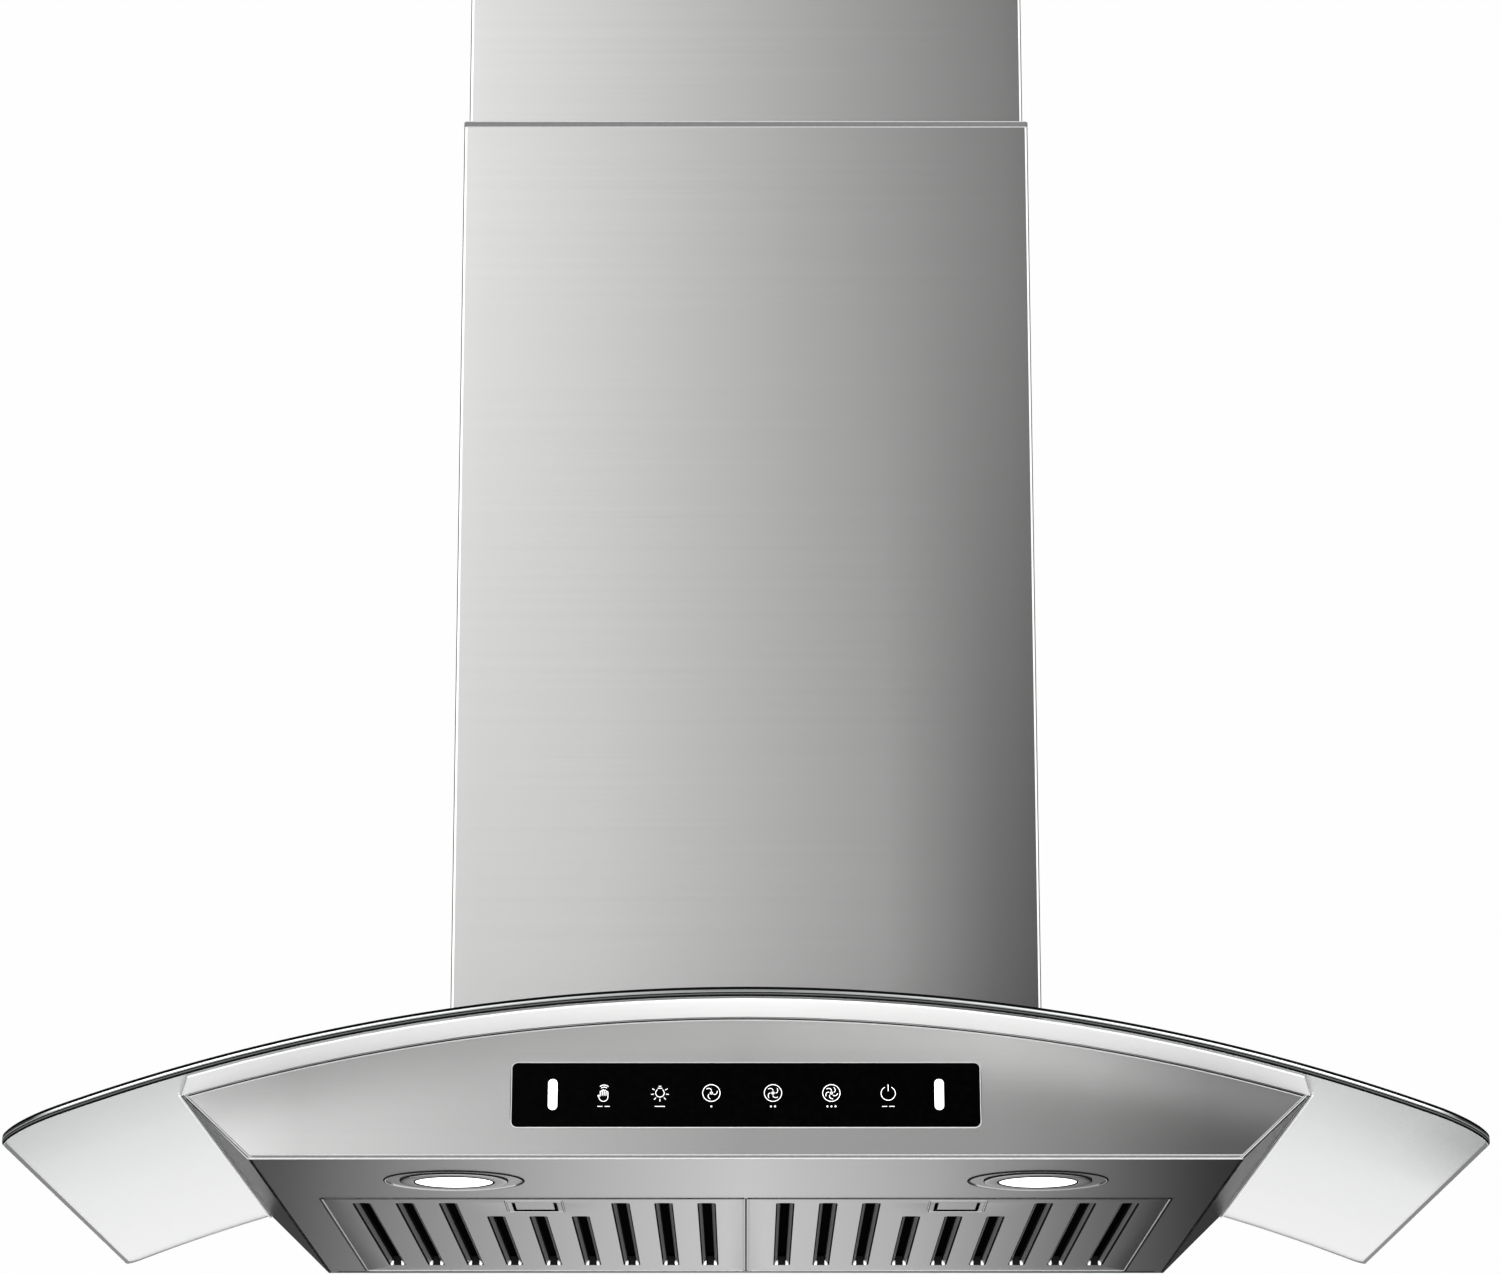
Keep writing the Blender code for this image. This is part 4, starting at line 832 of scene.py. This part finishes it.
def hand_symbol():
    strokes = [arc(0.0002, 0.0010, 0.0011 + 0.0011 * k, 48, 132, 10) for k in (1, 2)]
    for x, top in ((-0.0013, 0.0006), (-0.0003, 0.0012), (0.0007, 0.0010), (0.0017, 0.0003)):
        strokes.append(line(x - 0.0005, -0.0014, x - 0.0005, top) + arc(x, top, 0.0005, 180, 0, 6)[1:])
    strokes.append(line(0.0022, 0.0003, 0.0022, -0.0022))
    strokes.append(arc(-0.0001, -0.0022, 0.0023, 0, -165, 12))
    strokes.append([(-0.0023, -0.0028), (-0.0031, -0.0013), (-0.0026, -0.0010), (-0.0018, -0.0019)])
    return strokes


def lamp_symbol():
    """A bulb that hangs from its cap, with rays at its sides and below it."""
    strokes = [arc(0, 0, 0.0022, -235, 55, 24)]
    strokes += [line(-0.0012, 0.0026, 0.0012, 0.0026), line(-0.0007, 0.0036, 0.0007, 0.0036)]
    for k in range(7):
        turn = math.radians(30 - 40 * k)
        c, s = math.cos(turn), math.sin(turn)
        strokes.append(line(0.0032 * c, 0.0032 * s, 0.0046 * c, 0.0046 * s))
    return strokes


def power_symbol():
    return [arc(0, -0.0002, 0.0037, 118, 422, 34), line(0, 0.0010, 0, 0.0046)]


def marks(kind):
    """Small generic marks in place of words: dots for the speeds, dashes for the switches."""
    if kind == "dash":
        return [line(-0.0026, 0, 0.0026, 0)]
    if kind == "pair":
        return [line(-0.0032, 0, -0.0006, 0), line(0.0006, 0, 0.0032, 0)]
    return [arc((k - (kind - 1) / 2) * 0.0021, 0, 0.00032, 0, 360, 8) for k in range(kind)]


def add_stroke(bm, points, x, z, closed):
    """A flat printed line with square edges, laid on the glass."""
    count = len(points)
    rows = []
    for i, (px, pz) in enumerate(points):
        before = points[(i - 1) % count] if closed or i else points[0]
        after = points[(i + 1) % count] if closed or i < count - 1 else points[-1]
        along = Vector((after[0] - before[0], after[1] - before[1]))
        side = Vector((-along.y, along.x)).normalized() * STROKE
        row = []
        for s, out in ((-1, 0.0), (-1, PRINT_LIFT), (1, PRINT_LIFT), (1, 0.0)):
            place = Vector((x + px + s * side.x, GLASS_FACE - out, z + pz + s * side.y))
            row.append(bm.verts.new(FACE @ place))
        rows.append(row)
    if closed:
        bridge_round(bm, rows)
    else:
        bridge_and_cap(bm, rows)


def symbol(name, strokes, x, z):
    bm = bmesh.new()
    for points in strokes:
        closed = len(points) > 4 and math.dist(points[0], points[-1]) < 1e-6
        add_stroke(bm, points[:-1] if closed else points, x, z, closed)
    piece(name, bm, "print", "hood")


def face_rings(bm, profile):
    """Rounded rings round the control panel's middle, from (inset, rise out of the leaning face) points."""
    loops = []
    for inset, out in profile:
        ring = rounded_outline(BEZEL_HALF[0] - inset, BEZEL_HALF[1] - inset, BEZEL_CORNER - inset, 8)
        loops.append([bm.verts.new(FACE @ Vector((x, -out, BEZEL_MIDDLE * SLOPE + z))) for x, z in ring])
    return loops


def control_glass():
    """Black glass that runs right out to a narrow steel bezel."""
    back = -0.0008
    inner = BEZEL_WIDTH
    trim = ((0.0, back), (0.0, 0.0004), (0.0001, BEZEL_RISE), (inner, BEZEL_RISE), (inner, back))
    bm = bmesh.new()
    loops = face_rings(bm, trim)
    bridge_round(bm, loops)
    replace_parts(piece("control_bezel_trim", bm, "bead", "hood", 40.0), "control_bezel")
    bm = bmesh.new()
    sheet = ((inner, back), (inner, 0.0002), (inner + 0.0004, -GLASS_FACE - PRINT_LIFT))
    bridge_and_cap(bm, face_rings(bm, sheet))
    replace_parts(piece("control_glass_sheet", bm, "black", "hood", 40.0), "control_panel_glass")


def control_symbols():
    rows = (
        ("gesture_symbol", hand_symbol(), -0.0736, "pair"),
        ("lamp_symbol", lamp_symbol(), -0.0445, "dash"),
        ("low_speed_symbol", fan_symbol(3), -0.0179, 1),
        ("middle_speed_symbol", fan_symbol(4), 0.0140, 2),
        ("high_speed_symbol", fan_symbol(5), 0.0442, 3),
        ("power_symbol", power_symbol(), 0.0736, "pair"),
    )
    for name, strokes, x, kind in rows:
        symbol(name, strokes, x, ICON_ROW)
        symbol(name.replace("symbol", "mark"), marks(kind), x, MARK_ROW)


# ---------- lamps
LAMP_LENS_RADIUS = 0.0206
LAMP_RING_RADIUS = 0.0287
STAMPING_RADIUS = 0.0367


def lathed(name, centre, profile, material, join=bridge_round):
    """A fine ring or disc on a vertical axis through centre, from (radius, height) points."""
    bm = bmesh.new()
    turned(bm, profile, Matrix.Translation(centre), 96, join=join)
    return piece(name, bm, material, "hood", 40.0)


def lamp_details():
    """Ring, seal and frosted cover of each lamp, and the bead stamped into the sheet round them, with painted
    shadow lines beside the bead and round the ring.
    """
    ring, lens = LAMP_RING_RADIUS, LAMP_LENS_RADIUS
    stamped = ((-0.0008, 0.0), (-0.0005, -0.0004), (0.0, -0.0005), (0.0008, 0.0))
    shaded = ((-0.0001, 0.0), (0.0001, -0.00052), (0.0006, -0.0004), (0.0009, 0.0))
    edge = ((-0.0004, 0.0), (-0.0003, -0.0005), (0.0001, -0.0005), (0.0002, 0.0))
    # Painted shadow lines: dark rings beside the stamped bead and round the ring's outer wall.
    beads = (
        ("stamping", "flat", "body_steel", STAMPING_RADIUS, stamped),
        ("stamping_shadow_line", "shadow", "rubber", STAMPING_RADIUS, shaded),
        ("ring_shadow_line", "shadow", "rubber", ring, edge),
    )
    for word in ("left", "right"):
        low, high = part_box(word + "_lamp_bezel")
        centre = Vector(((low.x + high.x) / 2, (low.y + high.y) / 2, FLAT_Z))
        face = low.z - FLAT_Z
        lamp = word + "_lamp_"
        for label, material, slot, radius, section in beads:
            lathed(lamp + label, centre, [(radius + r, z) for r, z in section], material)
        plate = (
            (ring - 0.0003, 0.003),
            (ring - 0.0003, face * 0.5),
            (ring - 0.0008, face * 0.7),
            (ring - 0.0030, face * 0.65),
            (lens + 0.0014, face * 0.75),
            (lens + 0.0009, face * 0.6),
            (lens + 0.0009, 0.003),
        )
        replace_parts(lathed(lamp + "ring", centre, plate, "flat"), lamp + "bezel")
        seal = (
            (lens + 0.0009, 0.0),
            (lens + 0.0008, face * 0.9),
            (lens + 0.0005, face),
            (lens + 0.0002, face * 0.9),
            (lens, 0.0),
        )
        lathed(lamp + "seal", centre, seal, "shadow")
        cover = (
            (lens, 0.002),
            (lens, face * 0.55),
            (lens - 0.0008, face * 0.72),
            (lens * 0.6, face * 0.85),
            (lens * 0.2, face * 0.9),
        )
        disc = lathed(lamp + "cover", centre, cover, "lens", bridge_and_cap)
        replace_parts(disc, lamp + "lens")


# ---------- baffle filters
SLOT_PITCH = 0.0237
SLOT_HALF = 0.0051  # half width at the sheet
SLOT_CORNER = 0.0030
SLOT_LIP = ((0.0, 0.0), (0.0008, 0.0010), (0.0016, 0.0016), (0.0024, 0.0028), (0.0029, 0.0052))
SLOT_REAR = 0.0289  # from the filter's rear edge
LONG_SLOT = 0.280
SHORT_SLOT = 0.225
RECESS_HALF = 0.0125
RECESS_NEAR, RECESS_FAR = 0.0172, 0.0538  # from the filter's front edge
RECESS_RIM = (0.0162, 0.0230)  # half width and half depth of the stamped rim
RIM_MIDDLE = 0.0315  # from the filter's front edge
PLATE = 0.0007


def slot_spans(word):
    """(x, y_near, y_far) of the nine slots of a filter face."""
    low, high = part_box(word + "_filter_face")
    for k in range(9):
        length = SHORT_SLOT if 3 <= k <= 5 else LONG_SLOT
        rear = high.y - SLOT_REAR
        yield (low.x + high.x) / 2 + (k - 4) * SLOT_PITCH, rear - length, rear


def plan(word):
    """Low corner, middle and half size of a filter's face, seen from below."""
    low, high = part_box(word + "_filter_face")
    return low, ((low.x + high.x) / 2, (low.y + high.y) / 2), ((high.x - low.x) / 2, (high.y - low.y) / 2)


def slot_lip(bm, centre, half_length, base):
    """The sheet's edge rolled up into a slot: a painted shadow at the fold and at the rear end, and a roll in
    a dark grey that is partly painted shade.
    """
    rear_end = centre[1] + half_length - SLOT_CORNER
    loops = []
    for inset, rise in SLOT_LIP:
        corner = max(SLOT_CORNER - inset, 0.0010)
        ring = rounded_outline(SLOT_HALF - inset, half_length - inset, corner, 5, centre)
        loops.append(flat_ring(bm, ring, base + rise))

    def index_of(k, face):
        return 1 if k in (1, 2) and face.calc_center_median().y < rear_end else 2

    bridge(bm, loops, index_of=index_of)


def filter_face(word):
    """The stamped face of one filter, with its nine slots and the hole for the latch."""
    low, middle, half = plan(word)
    recess = (middle[0], low.y + (RECESS_NEAR + RECESS_FAR) / 2)
    outlines = [
        rounded_outline(*half, 0.0025, 4, middle),
        rounded_outline(RECESS_HALF, (RECESS_FAR - RECESS_NEAR) / 2, 0.0020, 4, recess),
    ]
    slots = [((x, (near + far) / 2), (far - near) / 2) for x, near, far in slot_spans(word)]
    for centre, half_length in slots:
        outlines.append(rounded_outline(SLOT_HALF, half_length, SLOT_CORNER, 5, centre))
    bm = bmesh.new()
    for outline in outlines:
        verts = flat_ring(bm, outline, low.z)
        for one, two in zip(verts, verts[1:] + verts[:1]):
            bm.edges.new((one, two))
    bmesh.ops.triangle_fill(bm, use_beauty=True, use_dissolve=False, edges=bm.edges)
    for centre, half_length in slots:
        slot_lip(bm, centre, half_length, low.z)
    bmesh.ops.remove_doubles(bm, verts=bm.verts, dist=1e-6)
    bmesh.ops.recalc_face_normals(bm, faces=bm.faces)
    if max(bm.faces, key=lambda f: f.calc_area()).normal.z > 0:
        bmesh.ops.reverse_faces(bm, faces=bm.faces)
    face = add_object(word + "_filter_stamping", bm, ("filter", "lip", "shadow"), 40)
    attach(face, word + "_filter")
    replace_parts(face, word + "_filter_face")
    solid = face.modifiers.new("sheet", "SOLIDIFY")
    solid.thickness = PLATE
    solid.offset = -1.0
    keep_flats_flat(face)


def filter_borders(word):
    """Bright bead right round a filter, with a painted shadow line along its front edge."""
    low, middle, half = plan(word)
    bm = bmesh.new()
    loops = []
    for inset, drop in half_round(0.0006, 0.0003, 0.0012, 6):
        ring = rounded_outline(half[0] - inset, half[1] - inset, 0.0024 - inset * 0.6, 4, middle)
        loops.append(flat_ring(bm, ring, low.z - drop))
    bridge_round(bm, loops)
    piece(word + "_filter_border_bead", bm, "bead", word + "_filter")
    reach = half[0] - 0.0004
    ends = [(middle[0] + side * reach, low.y + 0.0003, low.z) for side in (-1, 1)]
    name, section = word + "_filter_front_seal", half_round(0.0006, 0.00045)
    bar(name, "shadow", word + "_filter", ends, BACKWARD, DOWN, section)


def slot_tabs(word):
    """Curled tabs at the rear corners of the slots, in a white that is a painted highlight."""
    profile = ((0.0003, -0.0002), (0.0008, 0.0), (0.0010, 0.0006), (0.0010, 0.0024), (0.0006, 0.0032))
    bm = bmesh.new()
    for x, _, far in slot_spans(word):
        for side in (-1, 1):
            place = (x + side * (SLOT_HALF - 0.0019), far - 0.0018, plan(word)[0].z)
            turned(bm, profile, Matrix.Translation(place), 16)
    piece(word + "_filter_slot_tabs", bm, "white_painted_highlight", word + "_filter")


def latch_rim(word):
    """The raised rim that is stamped round the latch."""
    low, middle, _ = plan(word)
    centre = (middle[0], low.y + RIM_MIDDLE)
    bm = bmesh.new()
    loops = []
    for inset, drop in ((0.0, 0.00002), (0.0004, 0.0003), (0.0010, 0.0003), (0.0014, 0.00002)):
        ring = rounded_outline(RECESS_RIM[0] - inset, RECESS_RIM[1] - inset, 0.0026 - inset, 5, centre)
        loops.append(flat_ring(bm, ring, low.z - drop))
    bridge_round(bm, loops)
    piece(word + "_latch_rim", bm, "filter", word + "_filter", 50.0)


def filters():
    for word in ("left", "right"):
        filter_face(word)
        filter_borders(word)
        slot_tabs(word)
        latch_rim(word)


def underside_rear_shadow_line():
    """Painted shadow line along the underside behind the filters, in front of the rear panel."""
    inset, back = 0.004, 0.0045
    ends = [(x, UNDER_HIGH.y - back, FLAT_Z) for x in (UNDER_LOW.x + inset, UNDER_HIGH.x - inset)]
    section = half_round(0.0006, 0.0003)
    bar("underside_rear_shadow_line", "shadow", "hood", ends, BACKWARD, DOWN, section)


def filter_rivets():
    """Rivets that hold the face to the rim, two at each end of a filter's top side."""
    profile = ((0.0026, 0.0), (0.0026, 0.0004), (0.0020, 0.0011), (0.0008, 0.0014))
    for word in ("left", "right"):
        low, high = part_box(word + "_filter_back")
        bm = bmesh.new()
        for x in (low.x + 0.012, high.x - 0.012):
            for y in (low.y + 0.0095, high.y - 0.016):
                turned(bm, profile, Matrix.Translation((x, y, low.z + 0.0003)), 20)
        piece(word + "_filter_rivets", bm, "aluminium", word + "_filter", 40.0)


# ---------- fasteners
def fasteners():
    spots = [((x, REAR_HIGH.y, FLAT_Z + 0.010), BACKWARD) for x in (-0.235, -0.08, 0.08, 0.235)]
    spots += [((x, REAR_HIGH.y, arch(x) - 0.012), BACKWARD) for x in (-0.20, 0.0, 0.20)]
    screws("rear_panel_screws", "hood", spots, 0.0030)

    spots = []
    for side, x_word in ((-1, "left"), (1, "right")):
        for y_word in ("front", "rear"):
            low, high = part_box("frame_post_" + y_word + "_" + x_word)
            x = low.x if side < 0 else high.x
            for drop in (0.02, 0.08):
                spots.append(((x, (low.y + high.y) / 2, high.z - drop), (side, 0, 0)))
    screws("frame_bolts", "hood", spots, 0.0028)

    low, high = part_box("junction_box_cover")
    inset = 0.006
    corners = [(x, y) for x in (low.x + inset, high.x - inset) for y in (low.y + inset, high.y - inset)]
    screws("junction_box_screws", "hood", [((x, y, high.z), (0, 0, 1)) for x, y in corners], 0.0022)


# ---------- CAD nodes that keep their shape
def finish_nodes():
    """Materials and eased edges for the CAD nodes that show as they are."""
    looks = (  # a star stands for left and right
        ("panel", 0.0003, ("front_panel", "rear_panel")),
        ("side", 0.0003, ("*_side_panel",)),
        ("flat", 0.0002, ("underside_panel", "top_plate")),
        ("flange", 0.0002, ("front_glass_flange",)),
        ("polished", 0.0003, ("damper_rod", "motor_shaft")),
        ("filter", 0.0002, ("*_latch_handle",)),
        ("baffle", 0.0001, ("*_filter_back",)),
        ("sensor", 0.0001, ("*_sensor_window",)),
        ("aluminium", 0.0002, ("*_lamp_housing", "*_damper_flap")),
        ("aluminium", 0.0, ("impeller",)),
        ("board", 0.0, ("control_board",)),
        ("black_plastic", 0.0004, ("control_board_cover", "outlet_collar")),
        ("white_plastic", 0.0010, ("capacitor",)),
        ("rubber", 0.0003, ("*_glass_gasket",)),
        ("motor", 0.0010, ("motor",)),
    )
    dressed = {}
    for material, width, names in looks:
        for name in names:
            for side in ("left", "right"):
                dressed[name.replace("*", side)] = (material, width)
    for name in sorted(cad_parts):
        dress(name, *dressed.get(name, ("zinc", 0.0002)))


def dress(name, material, width):
    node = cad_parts[name]
    node.data.materials.clear()
    node.data.materials.append(MATERIALS[material])
    if width:
        node.data.shade_smooth()
        node.data.set_sharp_from_angle(angle=math.radians(30))
        bevel = node.modifiers.new("edges", "BEVEL")
        bevel.width = width
        bevel.segments = 2
        bevel.limit_method = "ANGLE"
        bevel.angle_limit = math.radians(40)
        bevel.harden_normals = False
        keep_flats_flat(node)


# ---------- floor, light and camera
def make_floor():
    bm = bmesh.new()
    bmesh.ops.create_grid(bm, x_segments=1, y_segments=1, size=FLOOR_HALF)
    floor = add_object("floor", bm, ("floor",), 30.0)
    floor.location = (0.0, MIDDLE_Y, FLAT_Z - FLOOR_DROP)


# Brightness by compass angle: 0 towards the camera side, 90 to the hood's right, 180 behind it.
UPPER_RING = (
    *((-180, 0.42), (-177, 0.30), (-173, 0.08), (-163, 0.07), (-150, 0.35), (-120, 0.50), (-100, 0.25)),
    *((-92, 0.45), (-84, 0.85), (-12, 1.00), (-5, 0.88), (0, 0.40), (5, 0.01), (13, 0.01), (18, 0.60)),
    *((30, 0.80), (84, 0.72), (92, 0.40), (100, 0.22), (120, 0.45), (150, 0.32), (163, 0.05)),
    *((173, 0.06), (177, 0.30), (180, 0.42)),
)
LOWER_RING = (
    *((-180, 0.47), (-177, 0.25), (-174, 0.02), (-166, 0.01), (-150, 0.05), (-110, 0.20), (-60, 0.60)),
    *((0, 0.60), (60, 0.55), (110, 0.18), (150, 0.04), (166, 0.0), (174, 0.01), (177, 0.22), (180, 0.47)),
)


def make_world():
    """A pale backdrop for the camera. Reflections see a ring of broad softboxes with dark gaps between
    them, which gives brushed steel its slow change of tone."""
    world = bpy.data.worlds.new("studio")
    bpy.context.scene.world = world
    world.use_nodes = True
    tree = world.node_tree
    tree.nodes.clear()
    towards = calculate(tree, "MULTIPLY", coordinate(tree, "Y", "Generated"), -1.0)
    azimuth = calculate(tree, "ARCTAN2", coordinate(tree, "X", "Generated"), towards)
    around = remap(tree, azimuth, -math.pi, math.pi)
    upper, lower = (
        ramp(tree, around, tuple((0.5 + degrees / 360.0, value) for degrees, value in stops))
        for stops in (UPPER_RING, LOWER_RING)
    )
    height = remap(tree, coordinate(tree, "Z", "Generated"), -0.06, 0.04)
    ring = {"Color": blend(tree, height, lower, upper), "Strength": 1.7}
    backdrop = {"Color": (1.0, 1.0, 1.0, 1.0), "Strength": 0.99}
    mirrored, seen = (add_node(tree, "Background", inputs).outputs[0] for inputs in (ring, backdrop))
    ray = add_node(tree, "LightPath", {}).outputs
    either = calculate(tree, "MAXIMUM", ray["Is Camera Ray"], ray["Is Transmission Ray"])
    mix = add_node(tree, "MixShader", {0: either, 1: mirrored, 2: seen}).outputs[0]
    add_node(tree, "OutputWorld", {"Surface": mix})


def make_light():
    """A broad soft fill in front of the hood and below it, left out of reflections."""
    data = bpy.data.lights.new("front_fill", "AREA")
    data.shape = "RECTANGLE"
    data.size, data.size_y = 3.0, 1.6
    data.energy = 90.0
    light = bpy.data.objects.new("front_fill", data)
    light.location = (0.0, -2.6, -1.9)
    aimed = Vector((0.0, FOLD_Y, FLAT_Z)) - light.location
    light.rotation_euler = aimed.to_track_quat("-Z", "Y").to_euler()
    light.visible_camera = False
    light.visible_glossy = False
    bpy.context.scene.collection.objects.link(light)


def make_camera():
    """Standing back from the front fold and below it, looking up at the hood."""
    data = bpy.data.cameras.new("camera")
    data.sensor_width = 36.0
    data.lens = 112.9
    data.shift_x = 0.0027
    data.clip_start = 0.05
    data.clip_end = 60.0
    camera = bpy.data.objects.new("camera", data)
    camera.location = (0.0, FOLD_Y - 2.411, FLAT_Z - 0.3476)
    camera.rotation_euler = (math.radians(104.54), 0.0, 0.0)
    bpy.context.scene.collection.objects.link(camera)
    bpy.context.scene.camera = camera


# ---------- assembly
finish_nodes()
glass_canopy()
chimneys()
chimney_joint()
panel_folds()
panel_top_line()
shoulder_trims()
control_glass()
control_symbols()
lamp_details()
filters()
underside_rear_shadow_line()
filter_rivets()
fasteners()
make_floor()
make_world()
make_light()
make_camera()
bpy.context.scene.view_settings.view_transform = "Standard"
